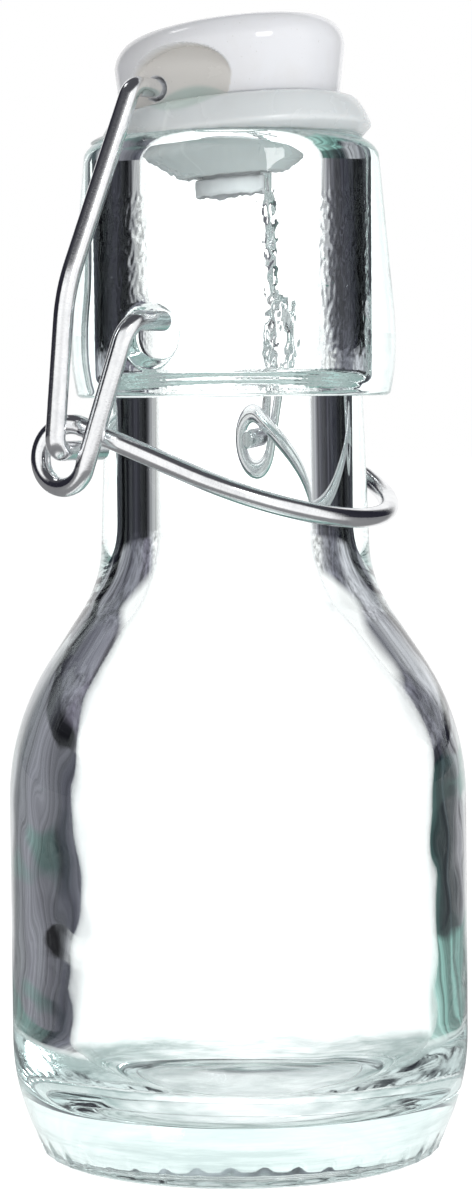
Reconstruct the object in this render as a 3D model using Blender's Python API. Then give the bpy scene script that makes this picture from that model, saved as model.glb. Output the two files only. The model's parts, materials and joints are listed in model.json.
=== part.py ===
"""Small swing-top glass bottle for oil, closed and standing.

The bottle's axis is Z and it stands on z = 0. The closure pivots along X. The lever's handle runs
round the front of the neck, at -Y, and the eyelets lie at the back, at +Y. All lengths are in metres.
"""
import math

import bmesh
import bpy
from mathutils import Matrix, Vector

# Bottle, outside, from the base up
BODY_RADIUS = 0.0260
BODY_HEIGHT = 0.0400
SHOULDER_HEIGHT = 0.0292
SHOULDER_CURVE = 0.0286
NECK_CURVE = 0.0143
NECK_FOOT_RADIUS = 0.0152
NECK_TOP_RADIUS = 0.0146
NECK_HEIGHT = 0.0163
COLLAR_HEIGHT = 0.0291
COLLAR_RADIUS = 0.0184
COLLAR_BELLY_HEIGHT = 0.0059
COLLAR_BELLY_CURVE = 0.0450
COLLAR_FOOT_CURVE = 0.0240
COLLAR_FOOT_ROUND = 0.0007
COLLAR_TAPER_SHARE = 0.1
LIP_ROUND = 0.0033
LIP_RIM_SHARE = 0.74
HEEL_HEIGHT = 0.0130
HEEL_CURVE = 0.0250
BEARING_ROUND = 0.0008
BEARING_WIDTH = 0.0022
PUSH_UP_HEIGHT = 0.0026
PUSH_UP_STEP_RADIUS = 0.0146
PUSH_UP_STEP_HEIGHT = 0.0007
PUSH_UP_RIM_SHARE = 0.4

# Bottle, inside
BODY_WALL = 0.0050
BASE_THICKNESS = 0.0048
INNER_HEEL_ROUND = 0.0080
INNER_FLOOR_CROWN = 0.0009
INNER_SHOULDER_LIFT = 0.0018
INNER_SHOULDER_CURVE = 0.0200
INNER_NECK_CURVE = 0.0180
NECK_WALL = 0.0064
COLLAR_BORE_RADIUS = 0.0103
BORE_STEP_LIFT = 0.0015
BORE_STEP_HEIGHT = 0.0020

# Pivot dimples, one on each side of the collar
DIMPLE_HEIGHT = 0.0068
DIMPLE_DEPTH = 0.0023
DIMPLE_MOUTH_RADIUS = 0.0037
DIMPLE_FLOOR_RADIUS = 0.0031
DIMPLE_FLOOR_ROUND = 0.0006
PIVOT_RISE = 0.0015
PIVOT_FORWARD = 0.0009

# Both wires
WIRE_RADIUS = 0.0011
SEAT_GAP = 0.0003

# Lever wire
ARM_SPREAD = 0.0240
ARM_BEND = 0.0026
EYELET_RADIUS = 0.0034
EYELET_BACK = 0.0089
EYELET_DROP = 0.0145
HANDLE_SLOPE_DEGREES = 24
HANDLE_FRONT_GAP = 0.0005
HANDLE_SIDE_GAP = 0.0022
HANDLE_BOW_DEPTH_SHARE = 0.79

# Bail wire
HOOK_LENGTH = 0.0095
HOOK_BEND = 0.0017
HOOK_FORWARD_SHARE = 0.28
HOOK_RISE_SHARE = 0.16
BAIL_TOP_SPREAD = 0.0158
BAIL_KNEE_SHARE = 0.43
BAIL_KNEE_BEND = 0.0140
BAIL_TOP_BEND = 0.0022

# Stopper cap, measured from the plane where the ring seats
CAP_RADIUS = 0.01295
CAP_FOOT_RADIUS = 0.01235
CAP_HEIGHT = 0.0096
CAP_DOME_CURVE = 0.0500
CAP_DOME_LEAN_DEGREES = 2
CAP_EDGE_ROUND = 0.0032
CAP_FOOT_ROUND = 0.0003
CAP_SET_BACK = 0.0001
SEAT_HEIGHT = 0.0034
STOPPER_SLANT_DEGREES = 5.5
HOLE_BACK = 0.0032
HOLE_HEIGHT = 0.0018
POCKET_DEPTH = 0.0022
POCKET_WIDTH = 0.0148
POCKET_RISE = 0.0043
STEM_RADIUS = 0.0032
STEM_LENGTH = 0.0107
BEAD_RADIUS = 0.0040
BEAD_HEIGHT = 0.0019
BEAD_ROUND = 0.0004

# Sealing ring
RING_TOP_RADIUS = 0.0128
RING_RADIUS = 0.0154
RING_SKIRT_HEIGHT = 0.0030
RING_EDGE_HEIGHT = 0.0003
RING_CHAMFER = 0.0010
RING_CONE_RADIUS = 0.0125
RING_CONE_FOOT_RADIUS = 0.0046
RING_FORWARD = 0.0005
RING_BORE_SLACK = 0.0006

# Facets and steps
GLASS_SEGMENTS = 48
CAP_SEGMENTS = 44
DIMPLE_SEGMENTS = 24
HOLE_SEGMENTS = 20
WIRE_BEVEL_RESOLUTION = 3
BEND_STEP = math.radians(14)
CURVE_STEP = math.radians(7)
SMOOTH_EDGE = math.radians(35)
CUT_OVERRUN = 0.0030
MERGE_DISTANCE = 0.000001

# Heights and places that follow from the sizes
NECK_FOOT_Z = BODY_HEIGHT + SHOULDER_HEIGHT
COLLAR_FOOT_Z = NECK_FOOT_Z + NECK_HEIGHT
RIM_Z = COLLAR_FOOT_Z + COLLAR_HEIGHT
LIP_CENTRE_RADIUS = COLLAR_RADIUS * LIP_RIM_SHARE
LIP_CENTRE_Z = RIM_Z - LIP_ROUND
PIVOT = Vector((0, -PIVOT_FORWARD, COLLAR_FOOT_Z + DIMPLE_HEIGHT + PIVOT_RISE))
EYELET = PIVOT + Vector((0, EYELET_BACK, -EYELET_DROP))
HOOK = EYELET + Vector((0, -EYELET_RADIUS * HOOK_FORWARD_SHARE, EYELET_RADIUS * HOOK_RISE_SHARE))
SEAT_Z = RIM_Z + SEAT_HEIGHT
SLANT = math.tan(math.radians(STOPPER_SLANT_DEGREES))
DOME_LEAN = math.tan(math.radians(CAP_DOME_LEAN_DEGREES))
STOPPER_AXIS_Y = CAP_SET_BACK
CROSS_HOLE = Vector((0, STOPPER_AXIS_Y + HOLE_BACK, SEAT_Z + HOLE_HEIGHT - SLANT * HOLE_BACK))
WIRE_PITCH = 2 * WIRE_RADIUS + SEAT_GAP


def arc(centre, radius, start, end, step=CURVE_STEP):
    """Points of an arc in a profile plane; angles in degrees from the outward direction."""
    first = math.radians(start)
    sweep = math.radians(end - start)
    count = max(2, math.ceil(abs(sweep) / step))
    angles = [first + sweep * i / count for i in range(count + 1)]
    return [(centre[0] + radius * math.cos(a), centre[1] + radius * math.sin(a)) for a in angles]


def swept_shoulder(low, high, low_curve, high_curve):
    """Ogee from a wide wall up to a narrow one: two arcs and the straight run that both touch.

    low and high are the (radius, height) points where the walls begin to bend."""
    span_r = high[0] - low[0]
    span_z = high[1] - low[1]
    reach = math.hypot(span_r + low_curve + high_curve, span_z)
    curves = low_curve + high_curve
    turn = math.atan2(span_z, span_r + curves) - math.acos(min(1, curves / reach))
    degrees = math.degrees(turn)
    lower = arc((low[0] - low_curve, low[1]), low_curve, 0, degrees)
    upper = arc((high[0] + high_curve, high[1]), high_curve, 180 + degrees, 180)
    return lower + upper


def lip_outline(extra, start, end):
    """The rounded lip from inside to outside, moved outward by extra."""
    return arc((LIP_CENTRE_RADIUS, LIP_CENTRE_Z), LIP_ROUND + extra, start, end, BEND_STEP)


def outer_collar():
    """Collar from the lip's outer edge down its flared side to the flat underside."""
    belly_z = COLLAR_FOOT_Z + COLLAR_BELLY_HEIGHT
    taper = math.degrees(math.atan(COLLAR_TAPER_SHARE))
    belly = arc((COLLAR_RADIUS - COLLAR_BELLY_CURVE, belly_z), COLLAR_BELLY_CURVE, taper, 0)
    rise = LIP_CENTRE_Z - belly[0][1]
    near_lip = belly[0][0] - rise * COLLAR_TAPER_SHARE
    corner_cos = min(1, (near_lip - LIP_CENTRE_RADIUS) / LIP_ROUND)
    corner = math.degrees(math.acos(corner_cos))
    foot_drop = belly_z - COLLAR_FOOT_Z - COLLAR_FOOT_ROUND
    lean = math.degrees(math.asin(min(1, foot_drop / COLLAR_FOOT_CURVE)))
    foot = arc((COLLAR_RADIUS - COLLAR_FOOT_CURVE, belly_z), COLLAR_FOOT_CURVE, 0, -lean)
    round_centre = (foot[-1][0] - COLLAR_FOOT_ROUND, COLLAR_FOOT_Z + COLLAR_FOOT_ROUND)
    underside = arc(round_centre, COLLAR_FOOT_ROUND, 0, -90, BEND_STEP)
    return lip_outline(0, 180, corner) + belly + foot[1:] + underside[1:]


def outer_base():
    """Heel, narrow bearing ring and push-up, from the body wall to the axis."""
    drop = HEEL_HEIGHT - BEARING_ROUND
    lean = math.degrees(math.asin(min(1, drop / HEEL_CURVE)))
    heel = arc((BODY_RADIUS - HEEL_CURVE, HEEL_HEIGHT), HEEL_CURVE, 0, -lean)
    toe_centre = (heel[-1][0] - BEARING_ROUND * math.cos(math.radians(lean)), BEARING_ROUND)
    toe = arc(toe_centre, BEARING_ROUND, -lean, -90, BEND_STEP)
    inner_edge = toe_centre[0] - BEARING_WIDTH
    rim_z = PUSH_UP_HEIGHT * PUSH_UP_RIM_SHARE
    step_z = rim_z + PUSH_UP_STEP_HEIGHT
    hollow = [
        (inner_edge, 0),
        (PUSH_UP_STEP_RADIUS, rim_z),
        (PUSH_UP_STEP_RADIUS - PUSH_UP_STEP_HEIGHT, step_z),
        (PUSH_UP_STEP_RADIUS / 2, (step_z + 2 * PUSH_UP_HEIGHT) / 3),
        (0, PUSH_UP_HEIGHT),
    ]
    return heel + toe[1:] + hollow


def inner_outline():
    """The bottle's inside from the middle of the floor up to the lip."""
    inner_radius = BODY_RADIUS - BODY_WALL
    neck_bore = NECK_FOOT_RADIUS - NECK_WALL
    floor_z = PUSH_UP_HEIGHT + BASE_THICKNESS
    heel_centre = (inner_radius - INNER_HEEL_ROUND, floor_z - INNER_FLOOR_CROWN + INNER_HEEL_ROUND)
    heel = arc(heel_centre, INNER_HEEL_ROUND, -90, 0, BEND_STEP)
    low = (inner_radius, BODY_HEIGHT + INNER_SHOULDER_LIFT)
    high = (neck_bore, NECK_FOOT_Z + INNER_SHOULDER_LIFT)
    shoulder = swept_shoulder(low, high, INNER_SHOULDER_CURVE, INNER_NECK_CURVE)
    lip_inner = LIP_CENTRE_RADIUS - LIP_ROUND
    step_z = COLLAR_FOOT_Z + BORE_STEP_LIFT
    bore = [
        (neck_bore, step_z),
        (COLLAR_BORE_RADIUS, step_z + BORE_STEP_HEIGHT),
        ((COLLAR_BORE_RADIUS + lip_inner) / 2, LIP_CENTRE_Z - LIP_ROUND),
    ]
    return [(0, floor_z)] + heel + shoulder + bore


def bottle_outline():
    """Whole closed profile: up the inside, over the lip and down the outside."""
    outer_low = (BODY_RADIUS, BODY_HEIGHT)
    outer_high = (NECK_FOOT_RADIUS, NECK_FOOT_Z)
    shoulder = swept_shoulder(outer_low, outer_high, SHOULDER_CURVE, NECK_CURVE)
    neck = [(NECK_TOP_RADIUS, COLLAR_FOOT_Z)]
    return inner_outline() + outer_collar() + neck + shoulder[::-1] + outer_base()


def material(name, colour, roughness, metallic, transmission=0):
    """One plain finish."""
    made = bpy.data.materials.new(name)
    made.use_nodes = True
    shader = made.node_tree.nodes["Principled BSDF"]
    shader.inputs["Base Color"].default_value = (*colour, 1)
    shader.inputs["Roughness"].default_value = roughness
    shader.inputs["Metallic"].default_value = metallic
    shader.inputs["Transmission Weight"].default_value = transmission
    made.diffuse_color = (*colour, 1)
    return made


def object_from(bm, name, finish=None):
    """Turn a bmesh into a smooth-shaded object."""
    bmesh.ops.recalc_face_normals(bm, faces=bm.faces)
    mesh = bpy.data.meshes.new(name)
    bm.to_mesh(mesh)
    bm.free()
    mesh.shade_smooth()
    mesh.set_sharp_from_angle(angle=SMOOTH_EDGE)
    if finish:
        mesh.materials.append(finish)
    made = bpy.data.objects.new(name, mesh)
    bpy.context.scene.collection.objects.link(made)
    return made


def turned_mesh(outline, segments):
    """Turn a profile of (radius, height) points round Z; end points on the axis close it."""
    bm = bmesh.new()
    verts = [bm.verts.new((r, 0, z)) for r, z in outline]
    edges = [bm.edges.new(pair) for pair in zip(verts, verts[1:])]
    bmesh.ops.spin(bm, geom=verts + edges, cent=(0, 0, 0), axis=(0, 0, 1), angle=math.tau,
                   steps=segments, use_merge=True)
    bmesh.ops.remove_doubles(bm, verts=bm.verts, dist=MERGE_DISTANCE)
    return bm


def turned_ring_mesh(outline, segments):
    """Turn a closed profile that doesn't reach the axis."""
    return turned_mesh(outline + outline[:1], segments)


def cutter(bm, name):
    """A solid that only cuts."""
    made = object_from(bm, name)
    made.hide_render = True
    made.display_type = "WIRE"
    return made


def cut(target, tool):
    """Take the tool out of the target."""
    step = target.modifiers.new(tool.name, "BOOLEAN")
    step.operation = "DIFFERENCE"
    step.object = tool


def hang_on(piece, pivot):
    """Parent a piece to the empty on its joint axis and keep its world place."""
    piece.parent = pivot
    piece.matrix_parent_inverse = Matrix.Translation(-pivot.location)


def joint_empty(name, place):
    """An empty that marks a joint's axis, which runs along X."""
    made = bpy.data.objects.new(name, None)
    made.location = place
    made.empty_display_size = WIRE_RADIUS
    bpy.context.scene.collection.objects.link(made)
    return made


def bent_route(corners):
    """Run straight between corners and round each with its bend radius.

    corners holds (point, bend radius); a bend never takes more than half of a run beside it."""
    route = [corners[0][0]]
    for (before, _), (corner, radius), (after, _) in zip(corners, corners[1:], corners[2:]):
        back = before - corner
        ahead = after - corner
        turn = math.pi - back.angle(ahead)
        limit = min(back.length, ahead.length) / 2
        tangent = min(radius * math.tan(turn / 2), limit)
        bend = tangent / math.tan(turn / 2)
        inward = (back.normalized() + ahead.normalized()).normalized()
        centre = corner + inward * math.hypot(tangent, bend)
        start = corner + back.normalized() * tangent - centre
        axis = back.cross(ahead).normalized()
        count = max(2, math.ceil(turn / BEND_STEP))
        for i in range(count + 1):
            route.append(centre + Matrix.Rotation(-turn * i / count, 3, axis) @ start)
    route.append(corners[-1][0])
    return route


def mirrored_route(half):
    """Repeat a left half, which ends on the middle plane, on the right."""
    other = [Vector((-p.x, p.y, p.z)) for p in reversed(half)]
    return half + other[1:]


def wire_object(name, route, origin, finish):
    """Round wire along a route, with flat cut ends."""
    curve = bpy.data.curves.new(name, "CURVE")
    curve.dimensions = "3D"
    curve.bevel_depth = WIRE_RADIUS
    curve.bevel_resolution = WIRE_BEVEL_RESOLUTION
    curve.use_fill_caps = True
    spline = curve.splines.new("POLY")
    spline.points.add(len(route) - 1)
    for point, place in zip(spline.points, route):
        point.co = (*(place - origin), 1)
    spline.use_smooth = True
    curve.materials.append(finish)
    made = bpy.data.objects.new(name, curve)
    made.location = origin
    bpy.context.scene.collection.objects.link(made)
    return made


def side_point(x, place, across=0, up=0):
    """A point at x whose side-view place is set off from another."""
    return Vector((x, place.y + across, place.z + up))


def eyelet_turn(arm_heading, handle_heading):
    """One eyelet's winding, from the end of the arm round to the start of the handle."""
    count = math.ceil((handle_heading - arm_heading) / BEND_STEP)
    turn = []
    for i in range(count + 1):
        share = i / count
        spoke = arm_heading + (handle_heading - arm_heading) * share - math.pi / 2
        x = -ARM_SPREAD + WIRE_PITCH * share
        turn.append(side_point(x, EYELET, EYELET_RADIUS * math.cos(spoke), EYELET_RADIUS * math.sin(spoke)))
    return turn


def handle_bow(start, slope):
    """Half of the handle: a straight run from the eyelet that touches the oval bow round the neck."""
    half_width = NECK_FOOT_RADIUS + HANDLE_SIDE_GAP + WIRE_RADIUS
    depth = half_width * HANDLE_BOW_DEPTH_SHARE
    front = NECK_FOOT_RADIUS + HANDLE_FRONT_GAP + WIRE_RADIUS
    centre_y = depth - front
    across = -start.x / half_width
    behind = (start.y - centre_y) / depth
    reach = max(1, math.hypot(across, behind))
    first = math.atan2(behind, across) - math.acos(1 / reach)
    sweep = first + math.pi / 2
    count = math.ceil(sweep / CURVE_STEP)
    bow = []
    for i in range(count + 1):
        angle = first - sweep * i / count
        y = centre_y + depth * math.sin(angle)
        bow.append(Vector((-half_width * math.cos(angle), y, start.z + (y - start.y) * slope)))
    return bow


def lever_route():
    """Stub in the dimple, arm, eyelet and half of the handle, then the same mirrored."""
    reach = math.hypot(EYELET_BACK, EYELET_DROP)
    arm_heading = math.atan2(-EYELET_DROP, EYELET_BACK) - math.asin(EYELET_RADIUS / reach)
    handle_slope = math.radians(HANDLE_SLOPE_DEGREES)
    turn = eyelet_turn(arm_heading, math.pi + handle_slope)
    floor_x = COLLAR_RADIUS - DIMPLE_DEPTH
    tip = side_point(-(floor_x + 2 * SEAT_GAP), PIVOT)
    elbow = side_point(-ARM_SPREAD, PIVOT)
    arm = bent_route([(tip, 0), (elbow, ARM_BEND), (turn[0], 0)])
    return mirrored_route(arm[:-1] + turn + handle_bow(turn[-1], math.tan(handle_slope)))


def bail_route():
    """Hook in the eyelet, leg with its knee, and half of the cross run through the cap, then mirrored."""
    leg_x = ARM_SPREAD + WIRE_PITCH
    tip = side_point(-(leg_x - HOOK_LENGTH), HOOK)
    heel = side_point(-leg_x, HOOK)
    knee = HOOK.lerp(CROSS_HOLE, BAIL_KNEE_SHARE)
    knee.x = -leg_x
    top = side_point(-BAIL_TOP_SPREAD, CROSS_HOLE)
    half = bent_route([(tip, 0), (heel, HOOK_BEND), (knee, BAIL_KNEE_BEND), (top, BAIL_TOP_BEND), (CROSS_HOLE, 0)])
    return mirrored_route(half)


def slanted(bm, forward=0):
    """Set a stopper piece on its axis, over its seat plane that slants down toward the back.

    The dome leans a little further than the seat, more so with its height."""
    for vert in bm.verts:
        rise = max(0, vert.co.z / CAP_HEIGHT)
        vert.co.z += SEAT_Z - (SLANT + DOME_LEAN * rise) * vert.co.y
        vert.co.y += STOPPER_AXIS_Y - forward
    return bm


def cap_outline():
    """Domed cap, foot, stem and retaining bead, from the top of the dome down to the bead."""
    edge_x = CAP_RADIUS - CAP_EDGE_ROUND
    dome_centre_z = CAP_HEIGHT - CAP_DOME_CURVE
    edge_z = dome_centre_z + math.sqrt((CAP_DOME_CURVE - CAP_EDGE_ROUND) ** 2 - edge_x ** 2)
    edge_angle = math.degrees(math.atan2(edge_z - dome_centre_z, edge_x))
    dome = arc((0, dome_centre_z), CAP_DOME_CURVE, 90, edge_angle, CURVE_STEP / 2)
    edge = arc((edge_x, edge_z), CAP_EDGE_ROUND, edge_angle, 0, BEND_STEP)
    foot = arc((CAP_FOOT_RADIUS - CAP_FOOT_ROUND, CAP_FOOT_ROUND), CAP_FOOT_ROUND, 0, -90, 2 * BEND_STEP)
    bead_top = BEAD_HEIGHT - STEM_LENGTH
    stem = [
        (STEM_RADIUS, 0),
        (STEM_RADIUS, bead_top),
        (BEAD_RADIUS - BEAD_ROUND, bead_top),
        (BEAD_RADIUS, bead_top - BEAD_ROUND),
        (BEAD_RADIUS, BEAD_ROUND - STEM_LENGTH),
        (BEAD_RADIUS - BEAD_ROUND, -STEM_LENGTH),
        (0, -STEM_LENGTH),
    ]
    return [(0, CAP_HEIGHT)] + dome[1:] + edge[1:] + foot + stem


def pocket_mesh(side):
    """Arched flat pocket in one side of the cap, round the wire's hole."""
    half = POCKET_WIDTH / 2
    arch = [(half, -CUT_OVERRUN)] + arc((0, 0), 1, 0, 180, BEND_STEP) + [(-half, -CUT_OVERRUN)]
    arch[1:-1] = [(half * y, HOLE_HEIGHT + POCKET_RISE * z) for y, z in arch[1:-1]]
    floor_x = side * (CAP_RADIUS - POCKET_DEPTH)
    bm = bmesh.new()
    verts = [bm.verts.new((floor_x, y, z)) for y, z in arch]
    face = bm.faces.new(verts)
    grown = bmesh.ops.extrude_face_region(bm, geom=[face])
    moved = [v for v in grown["geom"] if isinstance(v, bmesh.types.BMVert)]
    bmesh.ops.translate(bm, verts=moved, vec=(side * (POCKET_DEPTH + CUT_OVERRUN), 0, 0))
    return bm


def cross_hole_mesh():
    """Hole along X for the bail."""
    bm = bmesh.new()
    reach = 2 * (CAP_RADIUS + CUT_OVERRUN)
    across = WIRE_RADIUS + SEAT_GAP
    turn = Matrix.Translation(CROSS_HOLE) @ Matrix.Rotation(math.pi / 2, 4, "Y")
    bmesh.ops.create_cone(bm, cap_ends=True, segments=HOLE_SEGMENTS, radius1=across, radius2=across,
                          depth=reach, matrix=turn)
    return bm


def dimple_mesh(side):
    """Blind round dimple with a rounded floor, opening outward along X."""
    floor_x = COLLAR_RADIUS - DIMPLE_DEPTH
    flare = (DIMPLE_MOUTH_RADIUS - DIMPLE_FLOOR_RADIUS) / DIMPLE_DEPTH
    reach = DIMPLE_DEPTH + CUT_OVERRUN
    floor_centre = (DIMPLE_FLOOR_RADIUS - DIMPLE_FLOOR_ROUND, DIMPLE_FLOOR_ROUND)
    floor = arc(floor_centre, DIMPLE_FLOOR_ROUND, -90, 0, 2 * BEND_STEP)
    outline = [(0, 0)] + floor + [(DIMPLE_FLOOR_RADIUS + flare * reach, reach), (0, reach)]
    bm = turned_mesh(outline, DIMPLE_SEGMENTS)
    place = Vector((side * floor_x, 0, COLLAR_FOOT_Z + DIMPLE_HEIGHT))
    bm.transform(Matrix.Translation(place) @ Matrix.Rotation(side * math.pi / 2, 4, "Y"))
    return bm


def ring_outline():
    """Seal: a skirt that widens downward, a chamfered edge and a cone that enters the mouth."""
    top = -SEAT_GAP
    bore = STEM_RADIUS + RING_FORWARD + RING_BORE_SLACK
    foot = BEAD_HEIGHT - STEM_LENGTH + SEAT_GAP
    skirt_z = top - RING_SKIRT_HEIGHT
    widen = RING_RADIUS - RING_TOP_RADIUS
    chamfer_z = skirt_z - RING_EDGE_HEIGHT - RING_CHAMFER
    return [
        (bore, top),
        (RING_TOP_RADIUS, top),
        (RING_TOP_RADIUS + widen / 2, top - RING_SKIRT_HEIGHT / 4),
        (RING_TOP_RADIUS + widen * math.sqrt(0.5), top - RING_SKIRT_HEIGHT / 2),
        (RING_RADIUS, skirt_z),
        (RING_RADIUS, skirt_z - RING_EDGE_HEIGHT),
        (RING_RADIUS - RING_CHAMFER, chamfer_z),
        (RING_CONE_RADIUS, chamfer_z),
        (RING_CONE_FOOT_RADIUS, foot),
        (bore, foot),
    ]


def lip_press_mesh():
    """The lip's shape with its clearance, which the soft ring takes where it is squeezed."""
    press = lip_outline(SEAT_GAP, 180, 0)
    foot_z = LIP_CENTRE_Z - LIP_ROUND
    base = [(press[-1][0], foot_z), (press[0][0], foot_z)]
    return turned_ring_mesh(press + base, GLASS_SEGMENTS)


def make_bottle():
    """Thick pressed glass with two pivot dimples in its collar."""
    glass = material("clear_glass", (0.86, 0.93, 0.91), 0.02, 0, 1)
    bottle = object_from(turned_mesh(bottle_outline(), GLASS_SEGMENTS), "glass_bottle", glass)
    for side, word in ((-1, "left"), (1, "right")):
        cut(bottle, cutter(dimple_mesh(side), word + "_dimple_cutter"))


def make_lever(steel):
    """Lever wire, with its origin on the axis through the dimples."""
    wire_object("lever_wire", lever_route(), PIVOT, steel)


def make_bail(steel):
    """Bail wire, with its origin on the axis through the eyelets."""
    wire_object("bail_wire", bail_route(), HOOK, steel)


def make_stopper():
    """Cap and sealing ring, which swing together on the bail's cross run."""
    pivot = joint_empty("stopper_pivot", CROSS_HOLE)
    plastic = material("white_plastic", (0.86, 0.87, 0.89), 0.18, 0)
    cap = object_from(slanted(turned_mesh(cap_outline(), CAP_SEGMENTS)), "stopper_cap", plastic)
    for side, word in ((-1, "left"), (1, "right")):
        cut(cap, cutter(slanted(pocket_mesh(side)), word + "_pocket_cutter"))
    cut(cap, cutter(cross_hole_mesh(), "cross_hole_cutter"))
    rubber = material("clear_silicone", (0.72, 0.80, 0.80), 0.35, 0)
    ring_mesh = slanted(turned_ring_mesh(ring_outline(), GLASS_SEGMENTS), RING_FORWARD)
    ring = object_from(ring_mesh, "sealing_ring", rubber)
    cut(ring, cutter(lip_press_mesh(), "lip_press_cutter"))
    hang_on(cap, pivot)
    hang_on(ring, pivot)


def main():
    for old in list(bpy.data.objects):
        bpy.data.objects.remove(old)
    steel = material("zinc_plated_steel", (0.62, 0.63, 0.65), 0.22, 1)
    make_bottle()
    make_lever(steel)
    make_bail(steel)
    make_stopper()


main()
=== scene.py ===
import json
import math

import bmesh
import bpy
from bpy.props import FloatProperty, FloatVectorProperty, IntProperty, PointerProperty
from mathutils import Matrix, Vector, noise


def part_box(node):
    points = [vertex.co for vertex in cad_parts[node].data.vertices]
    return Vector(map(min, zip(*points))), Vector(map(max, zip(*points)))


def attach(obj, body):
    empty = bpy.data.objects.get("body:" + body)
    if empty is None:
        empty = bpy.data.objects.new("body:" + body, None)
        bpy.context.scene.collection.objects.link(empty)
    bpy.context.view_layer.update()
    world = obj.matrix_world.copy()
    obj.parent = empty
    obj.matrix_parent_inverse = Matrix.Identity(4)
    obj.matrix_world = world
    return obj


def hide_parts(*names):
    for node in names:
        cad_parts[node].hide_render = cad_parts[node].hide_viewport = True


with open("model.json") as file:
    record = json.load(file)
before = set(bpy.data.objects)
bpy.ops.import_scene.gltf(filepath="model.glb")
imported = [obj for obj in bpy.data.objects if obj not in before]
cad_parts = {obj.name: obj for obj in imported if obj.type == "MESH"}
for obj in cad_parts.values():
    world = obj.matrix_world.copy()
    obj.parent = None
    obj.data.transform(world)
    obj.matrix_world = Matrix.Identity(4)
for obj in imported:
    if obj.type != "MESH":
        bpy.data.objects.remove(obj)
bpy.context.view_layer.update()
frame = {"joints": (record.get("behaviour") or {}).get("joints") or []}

bl_info = {
    "name": "Swing-top oil bottle",
    "version": (1, 0, 0),
    "blender": (4, 5, 0),
    "location": "3D View > Sidebar > Oil bottle",
    "description": "Clear glass oil bottle with a wire swing stopper, dressed over its packed frame",
    "category": "Add Mesh",
}

GLASS_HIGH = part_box("glass_bottle")[1]
JOINTS = {joint["name"]: Vector(joint["pos_m"]) for joint in frame["joints"]}
PIVOT = JOINTS["lever_hinge"]
HOOK = JOINTS["bail_hinge"]
CROSS_HOLE = JOINTS["stopper_swivel"]
RIM_Z = GLASS_HIGH[2]

# The photograph's viewing direction over the floor, from +X toward +Y, and what lies to its right
VIEW_DEGREES = 30
AHEAD = Vector((math.cos(math.radians(VIEW_DEGREES)), math.sin(math.radians(VIEW_DEGREES)), 0))
RIGHT = Vector((AHEAD.y, -AHEAD.x, 0))
UP = Vector((0, 0, 1))
FILL_WAY = AHEAD * 0.25 - RIGHT * 0.5 + UP * 0.9

# Height that the lamps face, as a share of the rim's
LAMP_AIM = 0.75

# The bore has a second, finer pattern of pebbles: its share of the first, and how much finer it is
FINE_SHARE = 0.5
FINER = 2.3

# Slope of the step where the bore widens, and where the bearing ring's inner round ends, in degrees
BORE_STEP_SLOPE = 80
BEARING_TURN_IN = -150

# Stretch of the painted shade streaks round the heel and of the drawing marks along the wire
ROUND_HEEL = (70, 70, 900)
ALONG_WIRE = (9, 190, 1)

# Noise over this limit, less the cover, is dust, and over how much it thickens
DUST_LIMIT = 0.86
DUST_EDGE = 0.12

# Limits between the whole numbers of a ray's depth: once, twice and three times
ONCE = 0.5
TWICE = 1.5
THRICE = 2.5

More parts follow.
